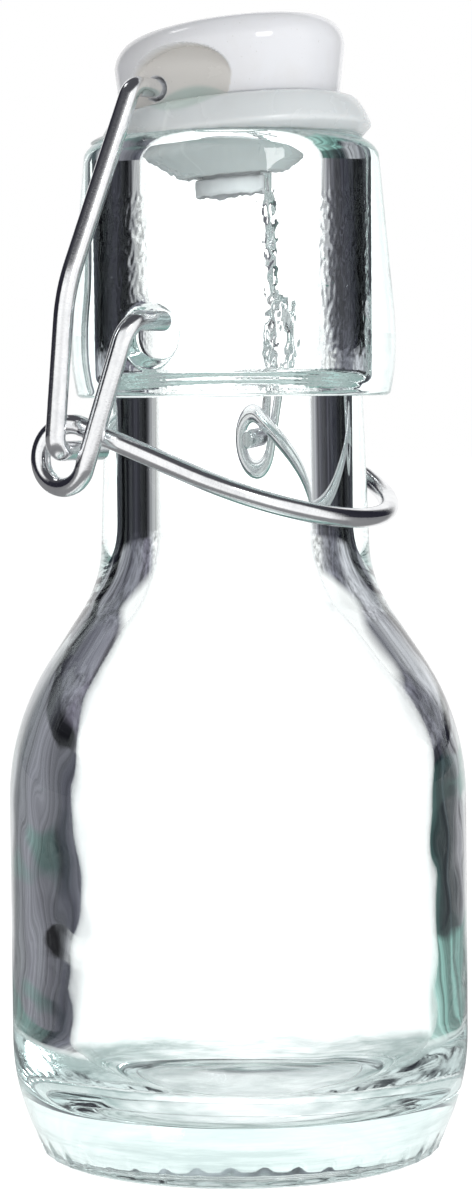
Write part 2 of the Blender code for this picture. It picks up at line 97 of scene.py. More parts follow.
# Tones of the room by bearing in degrees from the viewing direction, positive to the right. Metal mirrors
# the walls. The others are for light that has turned aside once in the glass: what goes far off, what comes
# down on the floor farther out (body) or close by (foot), and what goes upward (raised).
TONES = {
    "walls": {-180: 0.9, -150: 1.1, -122: 1, -112: (0.02, 0.02, 0.03), -36: (0.03, 0.03, 0.04), -26: 1,
              0: 1, 26: 1, 36: (0.02, 0.02, 0.03), 84: (0.03, 0.03, 0.04), 96: 1, 150: 1.1, 180: 0.9},
    "far": {-180: 0.8, -124: 0.95, -112: (0.03, 0.03, 0.04), -86: (0.03, 0.03, 0.04), -77: 0.95,
            -72: 0.95, -64: (0.6, 0.6, 0.62), -58: (0.18, 0.18, 0.2), -53: (0.01, 0.01, 0.012),
            -42: (0.025, 0.025, 0.03), -31: (0.06, 0.06, 0.075), -16: (0.04, 0.04, 0.05),
            -7: (0.015, 0.015, 0.02), 3: 0, 10: 0, 20: (0.02, 0.02, 0.03), 36: (0.07, 0.07, 0.09),
            56: (0.07, 0.07, 0.09), 64: (0.25, 0.25, 0.28), 74: (0.8, 0.8, 0.82), 79: (0.8, 0.8, 0.82),
            86: (0.03, 0.03, 0.04), 112: (0.03, 0.03, 0.04), 124: 0.9, 180: 0.8},
    "body": {-180: 0.8, -82: 1, -77: (0.85, 0.85, 0.86), -73: (0.33, 0.32, 0.38),
             -69: (0.24, 0.24, 0.29), -65: (0.1, 0.1, 0.13), -61: (0.1, 0.1, 0.13),
             -56: (0.17, 0.17, 0.2), -48: (0.25, 0.245, 0.285), -28: (0.3, 0.295, 0.34),
             -8: (0.32, 0.32, 0.36), 6: (0.55, 0.55, 0.59), 22: (0.55, 0.55, 0.59),
             33: (0.05, 0.06, 0.07), 46: (0.03, 0.05, 0.06), 70: (0.08, 0.18, 0.16),
             100: (0.8, 0.9, 0.88), 180: 0.8},
    "foot": {-180: 0.8, -90: 1, -82: (0.75, 0.75, 0.78), -76: (0.22, 0.22, 0.27),
             -68: (0.18, 0.18, 0.22), -63: (0.05, 0.06, 0.08), -58: (0.015, 0.02, 0.03),
             -51: (0.1, 0.17, 0.165), -40: (0.15, 0.24, 0.23), -15: (0.22, 0.42, 0.38),
             3: (0.05, 0.17, 0.15), 15: (0.22, 0.42, 0.38), 60: (0.32, 0.6, 0.54),
             100: (0.85, 0.95, 0.93), 180: 0.8},
    "raised": {-180: 0.9, -68: 0.95, -63: (0.5, 0.5, 0.54), -58: (0.22, 0.21, 0.26),
               -50: (0.16, 0.15, 0.19), -43: (0.24, 0.24, 0.28), -25: (0.14, 0.14, 0.17),
               -8: (0.25, 0.25, 0.28), 4: (0.5, 0.5, 0.54), 20: (0.5, 0.5, 0.54), 28: (0.18, 0.18, 0.21),
               40: (0.18, 0.18, 0.22), 55: (0.3, 0.3, 0.33), 66: 0.9, 180: 0.9},
}
BLACK = (0.02, 0.02, 0.03)
WHITE_WALL = (1.1, 1.1, 1.1)
CEILING = (0.08, 0.08, 0.09)

# Light that has turned aside more often: streaks high up, then the body's two sides and the foot
STRAY = (BLACK, (0.92, 0.94, 0.95))
BODY_STRAY = ((0.62, 0.62, 0.66), (0.45, 0.60, 0.57))
FOOT_STRAY = ((0.16, 0.21, 0.205), (0.89, 0.92, 0.92))

# The floor just under the bottle, in the middle and toward its sides
UNDER = ((1.47, 1.48, 1.49), (0.38, 0.50, 0.49))

# Where one tone gives way to the next: shares of the far floor, and heights over the horizon
BODY_SPAN = (0.8, 1)
FOOT_SPAN = (0.21, 0.26)
STRAY_SPAN = (0.42, 0.52)
RAISED_RISE = (0.03, 0.09)
WHITE_RISE = (0.42, 0.52)
CEILING_RISE = (0.55, 0.70)


def length(description, default):
    """A size in metres."""
    return FloatProperty(description=description, default=default, min=0, unit="LENGTH", precision=5)


def turn_angle(description, degrees):
    """An angle, kept in radians."""
    return FloatProperty(description=description, default=math.radians(degrees), unit="ROTATION")


def share(description, default):
    """A plain ratio or strength."""
    return FloatProperty(description=description, default=default, min=0)


def lamp_power(description, default):
    """A lamp's power."""
    return FloatProperty(description=description, default=default, min=0, unit="POWER")


def whole_number(description, default):
    """A whole number."""
    return IntProperty(description=description, default=default, min=4)


def colour(description, default):
    """A linear colour."""
    return FloatVectorProperty(description=description, default=default, subtype="COLOR", size=3, min=0,
                               max=1)


def named(group):
    """Give each property of a group its name, in the words of its identifier."""
    for key, value in group.__annotations__.items():
        value.keywords["name"] = key.replace("_", " ").capitalize()
    return group


@named
class GlassSizes(bpy.types.PropertyGroup):
    """Sizes of the glass, inside and outside."""
    body_radius: length("Outside radius of the straight wall", GLASS_HIGH[0])
    body_height: length("Where the shoulder starts", 0.0400)
    shoulder_height: length("From the body up to the neck", 0.0292)
    shoulder_curve: length("Radius of the convex part of the shoulder", 0.0286)
    neck_curve: length("Radius of the concave part of the shoulder", 0.0143)
    neck_foot_radius: length("Where the shoulder ends", 0.0152)
    neck_top_radius: length("Under the collar", 0.0146)
    neck_height: length("From the shoulder up to the collar", 0.0163)
    collar_radius: length("Widest part of the collar", 0.0184)
    collar_belly_height: length("Widest part above the collar's foot", 0.0059)
    collar_belly_curve: length("Roundness of the collar's side", 0.0450)
    collar_foot_curve: length("Roundness below the belly", 0.0240)
    collar_foot_round: length("Round of the lower corner", 0.0007)
    collar_taper: share("Slope of the collar's upper side", 0.1)
    lip_round: length("Radius of the rounded lip", 0.0033)
    lip_rim: share("Centre of the lip as a share of the collar radius", 0.74)
    heel_height: length("Where the body starts to draw in", 0.0130)
    heel_curve: length("Radius of the heel", 0.0250)
    bearing_round: length("Round of the ring that it stands on", 0.0008)
    bearing_width: length("Width of that ring", 0.0022)
    push_up_height: length("Height of the hollow under the base", 0.0026)
    push_up_step_radius: length("Round step in the push-up", 0.0146)
    push_up_step_height: length("Height of that step", 0.0007)
    push_up_rim: share("Rise to the step as a share of the height", 0.4)
    body_wall: length("Mean thickness of the body", 0.0050)
    base_thickness: length("Glass over the push-up", 0.0048)
    inner_heel_round: length("Round between floor and wall", 0.0080)
    floor_crown: length("Rise of the floor at the middle", 0.0009)
    inner_lift: length("How much higher the inner shoulder runs", 0.0018)
    inner_shoulder_curve: length("Radius of the inner shoulder", 0.0200)
    inner_neck_curve: length("Radius where the neck opens", 0.0180)
    neck_wall: length("Thickness of the neck", 0.0064)
    bore_radius: length("Inside radius of the collar", 0.0103)
    bore_step_lift: length("Where the bore widens, above the collar's foot", 0.0015)
    bore_step: length("Height over which the bore widens", 0.0020)
    dimple_height: length("Dimple's centre above the collar's foot", 0.0068)
    dimple_depth: length("Depth of the pivot dimples", 0.0023)
    dimple_mouth: length("Radius of a dimple at the surface", 0.0037)
    dimple_floor: length("Radius of a dimple's flat floor", 0.0027)
    pebble_depth: length("Unevenness of the bore", 0.00003)
    pebble_size: length("Width of the bore's bumps", 0.00042)
    wall_shift: length("How far the hollow lies off the middle in the body", 0.0011)
    wall_wave: length("Unevenness of the inner wall", 0.00025)
    wall_wave_size: length("Width of the inner wall's waves", 0.0190)
    wall_ripple: length("Finer unevenness of the inner wall", 0.00006)
    wall_ripple_size: length("Width of that ripple", 0.0040)
    bulge: length("Thick place in the body's wall", 0.0006)
    bulge_height: length("Middle of the thick place", 0.0300)
    bulge_spread: length("Half height of the thick place", 0.0080)
    bulge_width: turn_angle("Half width of the thick place", 34)
    bulge_bearing: turn_angle("Thick place, from +X toward +Y", 150)
    skin_wave: length("Unevenness of the outer wall", 0.00003)
    hollow_fade: share("Share of the shoulder over which the hollow's shift fades", 0.8)
    knurl_depth: length("Height of the knobs round the foot", 0.00016)
    knurls: whole_number("Knobs round the foot", 40)
    columns: whole_number("Facets round the glass", 384)
    knurl_rise: share("Middle of the knobs, in bearing rounds above the floor", 1.3)
    knurl_reach: share("Half height of the knobs, in bearing rounds", 2)
    knurl_start: share("Inner ends of the knobs, in bearing rounds inside the heel", 3)
    knurl_shape: share("How pointed the knobs are", 1.5)
    row_step: length("Greatest height of a facet", 0.0010)
    fine_step: length("Facet height at the bore, the dimples and the knurls", 0.0003)


@named
class WireSizes(bpy.types.PropertyGroup):
    """Sizes of the two bent wires."""
    wire_radius: length("Both wires", 0.0011)
    seat_gap: length("Clearance where pieces touch", 0.0003)
    arm_spread: length("Lever arm from the middle", 0.0240)
    arm_bend: length("Bend at the top of the lever", 0.0026)
    eyelet_radius: length("Middle of the wire in the eyelet", 0.0034)
    eyelet_back: length("Eyelet behind the pivot", 0.0089)
    eyelet_drop: length("Eyelet below the pivot", 0.0145)
    handle_slope: turn_angle("How steeply the handle falls", 24)
    handle_front_gap: length("Between the handle and the neck in front", 0.0005)
    handle_side_gap: length("Between the handle and the neck at the side", 0.0022)
    handle_bow_depth: share("Depth of the bow as a share of its half width", 0.79)
    hook_length: length("Bail end inside the eyelet", 0.0095)
    hook_bend: length("Bend at the bail's foot", 0.0017)
    top_spread: length("Bail's upper bend from the middle", 0.0158)
    knee: share("Place of the bail's knee along the leg", 0.43)
    knee_bend: length("Radius of the knee", 0.0140)
    top_bend: length("Radius of the upper bend", 0.0022)
    tip_chamfer: length("Chamfer of the cut ends", 0.00015)
    sides: whole_number("Facets round a wire", 28)
    bend_step: turn_angle("Turn of one facet along a bend", 3)
    uv_across: share("Coordinates of the wire's marks round it, per metre", 100)
    uv_along: share("Coordinates of the wire's marks along it, per metre", 10)


@named
class StopperSizes(bpy.types.PropertyGroup):
    """Sizes of the cap and its sealing ring, above the plane where the ring seats."""
    seat_height: length("Seat plane above the lip", 0.0034)
    set_back: length("Stopper's axis behind the bottle's", 0.0001)
    slant: turn_angle("Lean of the seat plane", 5.5)
    cap_radius: length("Widest part of the cap", 0.01295)
    cap_foot_radius: length("Where the cap meets the ring", 0.01235)
    cap_height: length("Middle of the dome", 0.0096)
    dome_curve: length("Radius of the dome", 0.0500)
    dome_lean: turn_angle("Further lean of the dome", 2)
    edge_round: length("Round of the dome's edge", 0.0032)
    foot_round: length("Round of the cap's foot", 0.0003)
    hole_height: length("Bail hole above the seat plane", 0.0018)
    pocket_depth: length("Depth of the flat side pockets", 0.0022)
    pocket_half: length("Half width of a pocket", 0.0066)
    pocket_rise: length("Arch above the bail hole", 0.0043)
    pocket_edge: length("Soft round of the pocket's edge", 0.0004)
    stem_radius: length("Stem inside the ring", 0.0032)
    stem_length: length("Below the seat plane", 0.0107)
    bead_radius: length("Bead that holds the ring", 0.0040)
    bead_height: length("Height of the bead", 0.0019)
    bead_round: length("Round of the bead's edges", 0.0004)
    ring_top_radius: length("Seal under the cap", 0.0128)
    ring_radius: length("Widest part of the seal", 0.0154)
    skirt_height: length("Height of the seal's side", 0.0030)
    ring_edge: length("Upright edge of the seal", 0.0003)
    ring_chamfer: length("Chamfer under the edge", 0.0010)
    cone_radius: length("Cone where it enters the mouth", 0.0125)
    cone_foot_radius: length("Cone above the bead", 0.0060)
    ring_forward: length("Shift of the seal toward the handle", 0.0005)
    ring_slack: length("Seal's bore round the stem", 0.0006)
    cap_seam: length("Between the cap and the seal", 0.00006)
    shade_from: length("Front end of the shaded lip under a pocket", 0.0059)
    shade_to: length("Back end of that lip", 0.0036)
    shade_drop: length("Height of that lip", 0.0014)
    shade_core: share("Full shade, as a share of the lip", 0.7)
    shade_fade: share("Fade round it, as a share of the lip", 0.5)
    mould_line: share("Half width of the seal's mould line, as a share of its radius", 0.03)
    cap_columns: whole_number("Facets round the cap", 480)
    seal_columns: whole_number("Facets round the seal", 240)
    hole_columns: whole_number("Facets round the bail's hole", 48)
    edge_facets: whole_number("Facets along the dome's edge", 14)
    skirt_facets: whole_number("Facets down the seal's side", 12)


@named
class Finishes(bpy.types.PropertyGroup):
    """Colours and marks of the four materials."""
    glass: colour("Surface tint of the glass", (0.998, 1.0, 0.999))
    glass_depth: colour("Light that thick glass lets through", (0.36, 0.80, 0.75))
    glass_density: share("Absorption in the glass, per metre", 6.5)
    lamp_tint: colour("Light that lamps send through the glass", (0.93, 0.975, 0.965))
    # Painted shade: dark streaks round the heel, fading upward, stand in for the dark bands that light makes
    # in the thick foot
    worn_glass: colour("Streaks round the heel", (0.50, 0.54, 0.54))
    worn_height: length("How far up the heel is worn", 0.0085)
    zinc: colour("Bright plating", (0.94, 0.95, 0.96))
    zinc_dull: colour("Handled and drawn plating", (0.76, 0.77, 0.79))
    zinc_pits: colour("Small pits in the plating", (0.2, 0.2, 0.21))
    cap: colour("Moulded plastic", (0.76, 0.77, 0.80))
    # Painted shade: the darker beige of the recessed pockets; smears on the cap take a darker copy of it
    cap_pocket: colour("Plastic in the side pockets", (0.72, 0.70, 0.67))
    cap_dust: colour("Dust on the cap", (0.5, 0.49, 0.46))
    cap_glow: length("How far light spreads under the cap's surface", 0.004)
    seal: colour("Soft ring", (0.66, 0.69, 0.70))
    seal_line: colour("Mould line of the ring", (0.86, 0.9, 0.9))
    seal_dust: colour("Dust on the ring", (0.5, 0.53, 0.53))
    seal_glow: FloatVectorProperty(description="How far light spreads in the ring", size=3, min=0,
                                   default=(0.003, 0.0034, 0.0036), unit="LENGTH", precision=5)
    # Painted shade on the lip under the side pockets, on both the cap and the ring
    shade: colour("Lip under the side pockets", (0.50, 0.58, 0.55))
    mark_depth: length("Depth of the finest marks", 0.00005)


@named
class Studio(bpy.types.PropertyGroup):
    """Camera, floor and lights."""
    camera_distance: length("Camera from the bottle's axis", 0.375)
    camera_height: length("Camera above the floor", 0.0857)
    camera_pitch: turn_angle("How far the camera looks down", 3.55)
    camera_roll: turn_angle("Lean of the picture", 0.6)
    view_angle: turn_angle("Field of view from top to bottom", 20.58)
    floor_radius: length("Pale floor", 4)
    floor_paint: colour("Share of the floor that takes shadow", (0.32, 0.32, 0.32))
    floor_glow: share("Light that the floor gives by itself", 0.75)
    floor_white: share("How white the camera sees that light", 1.18)
    backdrop: colour("Paper behind and under the bottle", (1, 1, 1))
    left_level: share("Light of the room from the left", 0.3375)
    right_level: share("Light of the room from the right", 0.7875)
    through_level: share("Paper seen through the glass", 1.4)
    near_floor: length("Floor round the foot that stays pale in the glass", 0.036)
    near_fade: share("Where it no longer does, as a share of that floor", 1.4)
    far_floor: length("Where the floor turns into the room", 0.7)
    dark_floor: length("Floor that metal mirrors dark ends here", 0.11)
    wall_floor: length("Floor that metal mirrors as the wall starts here", 0.16)
    foot_lean: share("How much farther the foot's tones reach on the right", 0.12)
    body_half: length("Half width over which the body's stray light changes", 0.03)
    streak_shift: length("How far streaks move the edge of the tone under the bottle", 0.05)
    under_middle: length("Where the tone under the bottle starts to change", 0.027)
    under_side: length("Where it has changed", 0.050)
    key_power: lamp_power("Main soft light", 1.3)
    key_size: length("Width of the main light", 0.16)
    key_distance: length("Scale of the main light's place", 0.6)
    key_bearing: turn_angle("Main light to the right of the camera", 34)
    key_rise: share("Height of the main light as a share of its distance", 0.42)
    fill_power: lamp_power("Second soft light", 0.25)
    fill_size: length("Width of the second light", 0.15)
    fill_distance: length("Scale of the second light's place", 0.8)


GROUPS = {"glass_sizes": GlassSizes, "wire_sizes": WireSizes, "stopper_sizes": StopperSizes,
          "finishes": Finishes, "studio": Studio}


# Widest turn of one facet of a profile, and the distance under which points are one
WIDEST_TURN = math.radians(9)
TOUCHING = 1e-7


def arc(centre, radius, start, end, step):
    """Points of an arc in a profile plane; the angles are in degrees from the outward direction."""
    first = math.radians(start)
    sweep = math.radians(end - start)
    count = max(2, math.ceil(abs(sweep) * radius / step), math.ceil(abs(sweep) / WIDEST_TURN))
    angles = [first + sweep * i / count for i in range(count + 1)]
    return [(centre[0] + radius * math.cos(a), centre[1] + radius * math.sin(a)) for a in angles]


def swept_shoulder(low, high, low_curve, high_curve, step):
    """Two arcs and the straight run between them, from a wide wall up to a narrow one."""
    span_r = high[0] - low[0]
    span_z = high[1] - low[1]
    curves = low_curve + high_curve
    reach = math.hypot(span_r + curves, span_z)
    turn = math.degrees(math.atan2(span_z, span_r + curves) - math.acos(min(1, curves / reach)))
    lower = arc((low[0] - low_curve, low[1]), low_curve, 0, turn, step)
    upper = arc((high[0] + high_curve, high[1]), high_curve, 180 + turn, 180, step)
    return lower + upper


def stepped(outline, step):
    """Divide an outline's runs until none is longer than step, which may depend on the place."""
    points = [outline[0]]
    for (r0, z0), (r1, z1) in zip(outline, outline[1:]):
        count = max(1, math.ceil(math.hypot(r1 - r0, z1 - z0) / step(z0, z1)))
        points += [(r0 + (r1 - r0) * i / count, z0 + (z1 - z0) * i / count) for i in range(1, count + 1)]
    return points


def smooth_step(value):
    """Ease from 0 to 1."""
    t = min(1, max(0, value))
    return t * t * (3 - 2 * t)


def turned_grid(outline, columns):
    """Turn a profile of (radius, height) points round Z; ends on the axis become single points."""
    bm = bmesh.new()
    rings = []
    for r, z in outline:
        if r < TOUCHING:
            rings.append([bm.verts.new((0, 0, z))])
            continue
        angles = [math.tau * i / columns for i in range(columns)]
        rings.append([bm.verts.new((r * math.cos(a), r * math.sin(a), z)) for a in angles])
    for lower, upper in zip(rings, rings[1:]):
        for i in range(columns):
            corners = [lower[i % len(lower)], lower[(i + 1) % len(lower)],
                       upper[(i + 1) % len(upper)], upper[i % len(upper)]]
            bm.faces.new(list(dict.fromkeys(corners)))
    return bm, rings


def closed_grid(outline, columns):
    """Turn a closed profile that doesn't reach the axis."""
    bm, rings = turned_grid(outline, columns)
    for i in range(columns):
        after = (i + 1) % columns
        bm.faces.new((rings[-1][i], rings[-1][after], rings[0][after], rings[0][i]))
    return bm


def piece_from(bm, name, finish=None, crease=40):
    """Turn a bmesh into a piece, smooth-shaded apart from edges over some degrees."""
    bmesh.ops.recalc_face_normals(bm, faces=bm.faces)
    mesh = bpy.data.meshes.new(name)
    bm.to_mesh(mesh)
    bm.free()
    mesh.shade_smooth()
    mesh.set_sharp_from_angle(angle=math.radians(crease))
    if finish:
        mesh.materials.append(finish)
    piece = bpy.data.objects.new(name, mesh)
    bpy.context.scene.collection.objects.link(piece)
    return piece


def dress(piece, body, node):
    """Tie a piece to its body and hide the node that it stands for."""
    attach(piece, body)
    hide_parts(node)


def feed(tree, node, values):
    """Link or set a node's inputs by their names or numbers."""
    for name, value in values.items():
        if isinstance(value, bpy.types.NodeSocket):
            tree.links.new(value, node.inputs[name])
        else:
            node.inputs[name].default_value = value


def add(tree, kind, inputs=None, **settings):
    """Add a shader node. inputs maps socket names or numbers to values or to other nodes' outputs."""
    made = tree.nodes.new("ShaderNode" + kind)
    for name, value in settings.items():
        setattr(made, name, value)
    feed(tree, made, inputs or {})
    return made


def place(tree):
    """Coordinates on the object, in metres."""
    return add(tree, "TexCoord").outputs["Object"]


def height_of(tree, vector):
    """Third part of a vector."""
    return add(tree, "SeparateXYZ", {0: vector}).outputs["Z"]


def stretched(tree, vector, scale):
    """A vector stretched along its axes."""
    return add(tree, "Mapping", {"Vector": vector, "Scale": scale}).outputs[0]


def noise_in(tree, vector, scale, detail, roughness=0.5, distortion=0):
    """Noise between 0 and 1."""
    return add(tree, "TexNoise", {"Vector": vector, "Scale": scale, "Detail": detail, "Roughness": roughness,
                                  "Distortion": distortion}).outputs["Fac"]


def calc(tree, operation, *values):
    """Result of one operation on values or sockets."""
    return add(tree, "Math", dict(enumerate(values)), operation=operation).outputs[0]


def times(tree, first, second):
    """Product of two values."""
    return calc(tree, "MULTIPLY", first, second)


def over(tree, value, limit):
    """1 where a value is over a limit, else 0."""
    return calc(tree, "GREATER_THAN", value, limit)


def part_along(tree, vector, way):
    """How far a vector goes along a direction."""
    return add(tree, "VectorMath", {0: vector, 1: way}, operation="DOT_PRODUCT").outputs["Value"]


def scaled(tree, tone, level):
    """A tone times a level."""
    return add(tree, "VectorMath", {0: tone, 3: level}, operation="SCALE").outputs[0]


def toned(tone, level):
    """A colour times a level."""
    return [level * part for part in tone]


def blend_of(tree, factor, first, second):
    """Mix two colours or sockets by a factor."""
    ends = [end if isinstance(end, bpy.types.NodeSocket) else (*end, 1) for end in (first, second)]
    return add(tree, "Mix", {"Factor": factor, 6: ends[0], 7: ends[1]}, data_type="RGBA").outputs[2]


def spread_between(tree, value, low=0, high=1, start=0, end=1):
    """Map a value from low..high to start..end."""
    made = add(tree, "MapRange", {"Value": value, "From Min": low, "From Max": high, "To Min": start,
                                  "To Max": end})
    return made.outputs["Result"]


def relief(tree, height, strength, depth):
    """Normal of a faint relief."""
    return add(tree, "Bump", {"Height": height, "Strength": strength, "Distance": depth}).outputs["Normal"]


def layer_of(tree, name):
    """A value that the mesh carries on its points."""
    return add(tree, "Attribute", attribute_name=name).outputs["Fac"]


def new_group(name, inputs, outputs):
    """A node group whose sockets are named with their kinds, and what comes into it."""
    group = bpy.data.node_groups.new(name, "ShaderNodeTree")
    for direction, sockets in (("INPUT", inputs), ("OUTPUT", outputs)):
        for label, kind in sockets.items():
            group.interface.new_socket(label, in_out=direction, socket_type="NodeSocket" + kind)
    return group, group.nodes.new("NodeGroupInput").outputs


def place_group(tree, group, values):
    """Place a node group in a tree and give its outputs."""
    made = tree.nodes.new("ShaderNodeGroup")
    made.node_tree = group
    feed(tree, made, values)
    return made.outputs


def handling_group():
    """Node group: faint smears and fine dust, as masks and a height."""
    name = "Handling"
    if name in bpy.data.node_groups:
        return bpy.data.node_groups[name]
    inputs = {"Smear scale": "Float", "Dust scale": "Float", "Dust cover": "Float", "Position": "Vector"}
    group, source = new_group(name, inputs, {"Smear": "Float", "Dust": "Float", "Height": "Float"})
    smear = noise_in(group, source["Position"], source["Smear scale"], detail=5, roughness=0.62,
                     distortion=0.8)
    dust = noise_in(group, source["Position"], source["Dust scale"], detail=2)
    above = calc(group, "SUBTRACT", dust, calc(group, "SUBTRACT", DUST_LIMIT, source["Dust cover"]))
    feed(group, group.nodes.new("NodeGroupOutput"), {"Smear": spread_between(group, smear, 0.45, 0.75),
                                                     "Dust": spread_between(group, above, 0, DUST_EDGE),
                                                     "Height": times(group, smear, dust)})
    return group


def handling(tree, smear_scale, dust_scale, dust_cover):
    """Place the handling group in a material."""
    return place_group(tree, handling_group(), {"Smear scale": smear_scale, "Dust scale": dust_scale,
                                                "Dust cover": dust_cover, "Position": place(tree)})


def new_material(name):
    """An empty node material with its Principled shader."""
    made = bpy.data.materials.new(name)
    made.use_nodes = True
    return made, made.node_tree, made.node_tree.nodes["Principled BSDF"]


def glass_material(looks):
    """Clear pressed glass with a faint green depth; lamps reach what is behind it."""
    made, tree, shader = new_material("pressed_clear_glass")
    marks = handling(tree, smear_scale=70, dust_scale=1500, dust_cover=0.1)
    tint = blend_of(tree, marks["Dust"], looks.glass, toned(looks.glass, 0.8))
    # Painted shade: dark streaks round the heel, fading upward, stand in for the dark bands in the thick
    # foot; they also make the glass a little rougher there
    rounds = noise_in(tree, stretched(tree, place(tree), ROUND_HEEL), scale=1, detail=5, roughness=0.65)
    low = spread_between(tree, height_of(tree, place(tree)), looks.worn_height, 0.5 * looks.worn_height)
    heel_shade = times(tree, low, spread_between(tree, rounds, 0.40, 0.62, start=0.3))
    smeared = spread_between(tree, marks["Smear"], end=0.015)
    waves = noise_in(tree, place(tree), scale=260, detail=3)
    feed(tree, shader, {"Base Color": blend_of(tree, heel_shade, tint, looks.worn_glass),
                        "Roughness": calc(tree, "MULTIPLY_ADD", heel_shade, 0.10, smeared),
                        "Normal": relief(tree, waves, strength=0.05, depth=looks.mark_depth),
                        "Transmission Weight": 1, "IOR": 1.52, "Specular Tint": (0.5, 0.5, 0.5, 1)})
    straight, lamp_way = [add(tree, "BsdfTransparent", {"Color": (*tone, 1)}).outputs[0]
                          for tone in ((1, 1, 1), looks.lamp_tint)]
    path = add(tree, "LightPath").outputs
    # After more than two reflections inside, a ray goes straight on, so that none ends in black
    often = over(tree, path["Glossy Depth"], THRICE)
    turning = add(tree, "MixShader", {0: often, 1: shader.outputs[0], 2: straight}).outputs[0]
    mix = add(tree, "MixShader", {0: path["Is Shadow Ray"], 1: turning, 2: lamp_way}).outputs[0]
    depth = add(tree, "VolumeAbsorption", {"Color": (*looks.glass_depth, 1), "Density": looks.glass_density})
    feed(tree, tree.nodes["Material Output"], {"Surface": mix, "Volume": depth.outputs[0]})
    return made


def zinc_material(looks):
    """Bright drawn wire: lengthwise drawing marks, dull patches and small pits."""
    name = "bright_zinc_wire"
    if name in bpy.data.materials:
        return bpy.data.materials[name]
    made, tree, shader = new_material(name)
    marks = handling(tree, smear_scale=420, dust_scale=5200, dust_cover=0.16)
    along = stretched(tree, add(tree, "UVMap").outputs[0], ALONG_WIRE)
    lines = noise_in(tree, along, scale=3, detail=4, roughness=0.7)
    dull = calc(tree, "MAXIMUM", marks["Smear"], spread_between(tree, lines, 0.5, 0.75))
    tone = blend_of(tree, dull, looks.zinc, looks.zinc_dull)
    height = calc(tree, "ADD", lines, marks["Height"])
    feed(tree, shader, {"Base Color": blend_of(tree, marks["Dust"], tone, looks.zinc_pits),
                        "Roughness": spread_between(tree, dull, start=0.06, end=0.16),
                        "Normal": relief(tree, height, strength=0.2, depth=looks.mark_depth), "Metallic": 1})
    return made


def cap_material(looks):
    """Glossy moulded plastic, slightly translucent, rougher in the pockets, with painted shade in the pockets
    and on the lip under them.
    """
    made, tree, shader = new_material("glossy_white_plastic")
    marks = handling(tree, smear_scale=160, dust_scale=3600, dust_cover=0.16)
    pocket = layer_of(tree, "pocket")
    # Painted shade in the recessed pockets
    tone = blend_of(tree, pocket, looks.cap, looks.cap_pocket)
    aged = blend_of(tree, spread_between(tree, marks["Smear"], end=0.25), tone,
                    toned(looks.cap_pocket, 0.93))
    # Painted shade on the lip under each pocket
    lip = blend_of(tree, layer_of(tree, "shade"), aged, looks.shade)
    gloss = calc(tree, "ADD", spread_between(tree, marks["Smear"], start=0.08, end=0.14),
                 spread_between(tree, pocket, end=0.16))
    feed(tree, shader, {"Base Color": blend_of(tree, marks["Dust"], lip, looks.cap_dust), "Roughness": gloss,
                        "Normal": relief(tree, marks["Height"], strength=0.1, depth=looks.mark_depth),
                        "Subsurface Weight": 0.25, "Subsurface Radius": [looks.cap_glow] * 3,
                        "Subsurface Scale": 1})
    return made


def seal_material(looks):
    """Milky soft ring with a mould line."""
    made, tree, shader = new_material("milky_silicone")
    marks = handling(tree, smear_scale=140, dust_scale=2600, dust_cover=0.1)
    tone = blend_of(tree, marks["Smear"], looks.seal, toned(looks.seal, 0.94))
    pale = blend_of(tree, times(tree, layer_of(tree, "mould_line"), 0.4), tone, looks.seal_line)
    # Painted shade on the ring's lip under each of the cap's pockets
    lip = blend_of(tree, layer_of(tree, "shade"), pale, looks.shade)
    feed(tree, shader, {"Base Color": blend_of(tree, marks["Dust"], lip, looks.seal_dust),
                        "Roughness": spread_between(tree, marks["Smear"], start=0.26, end=0.38),
                        "Normal": relief(tree, marks["Height"], strength=0.08, depth=0.8 * looks.mark_depth),
                        "Subsurface Weight": 0.6, "Subsurface Radius": looks.seal_glow,
                        "Subsurface Scale": 1})
    return made


def collar_outline(s, step):
    """From the lip's inner edge over the lip and down the collar's flared side to its flat foot."""
    foot_z = s.body_height + s.shoulder_height + s.neck_height
    belly_z = foot_z + s.collar_belly_height
    lip_radius = s.collar_radius * s.lip_rim
    lip_z = RIM_Z - s.lip_round
    taper = math.degrees(math.atan(s.collar_taper))
    belly = arc((s.collar_radius - s.collar_belly_curve, belly_z), s.collar_belly_curve, taper, 0, step)
    near_lip = belly[0][0] - (lip_z - belly[0][1]) * s.collar_taper
    corner = math.degrees(math.acos(min(1, (near_lip - lip_radius) / s.lip_round)))
    lean = math.degrees(math.asin((belly_z - foot_z - s.collar_foot_round) / s.collar_foot_curve))
    foot = arc((s.collar_radius - s.collar_foot_curve, belly_z), s.collar_foot_curve, 0, -lean, step)
    edge = arc((foot[-1][0] - s.collar_foot_round, foot_z + s.collar_foot_round), s.collar_foot_round,
               -lean, -90, step / 4)
    lip = arc((lip_radius, lip_z), s.lip_round, 180, corner, step / 2)
    return lip + belly + foot[1:] + edge[1:]


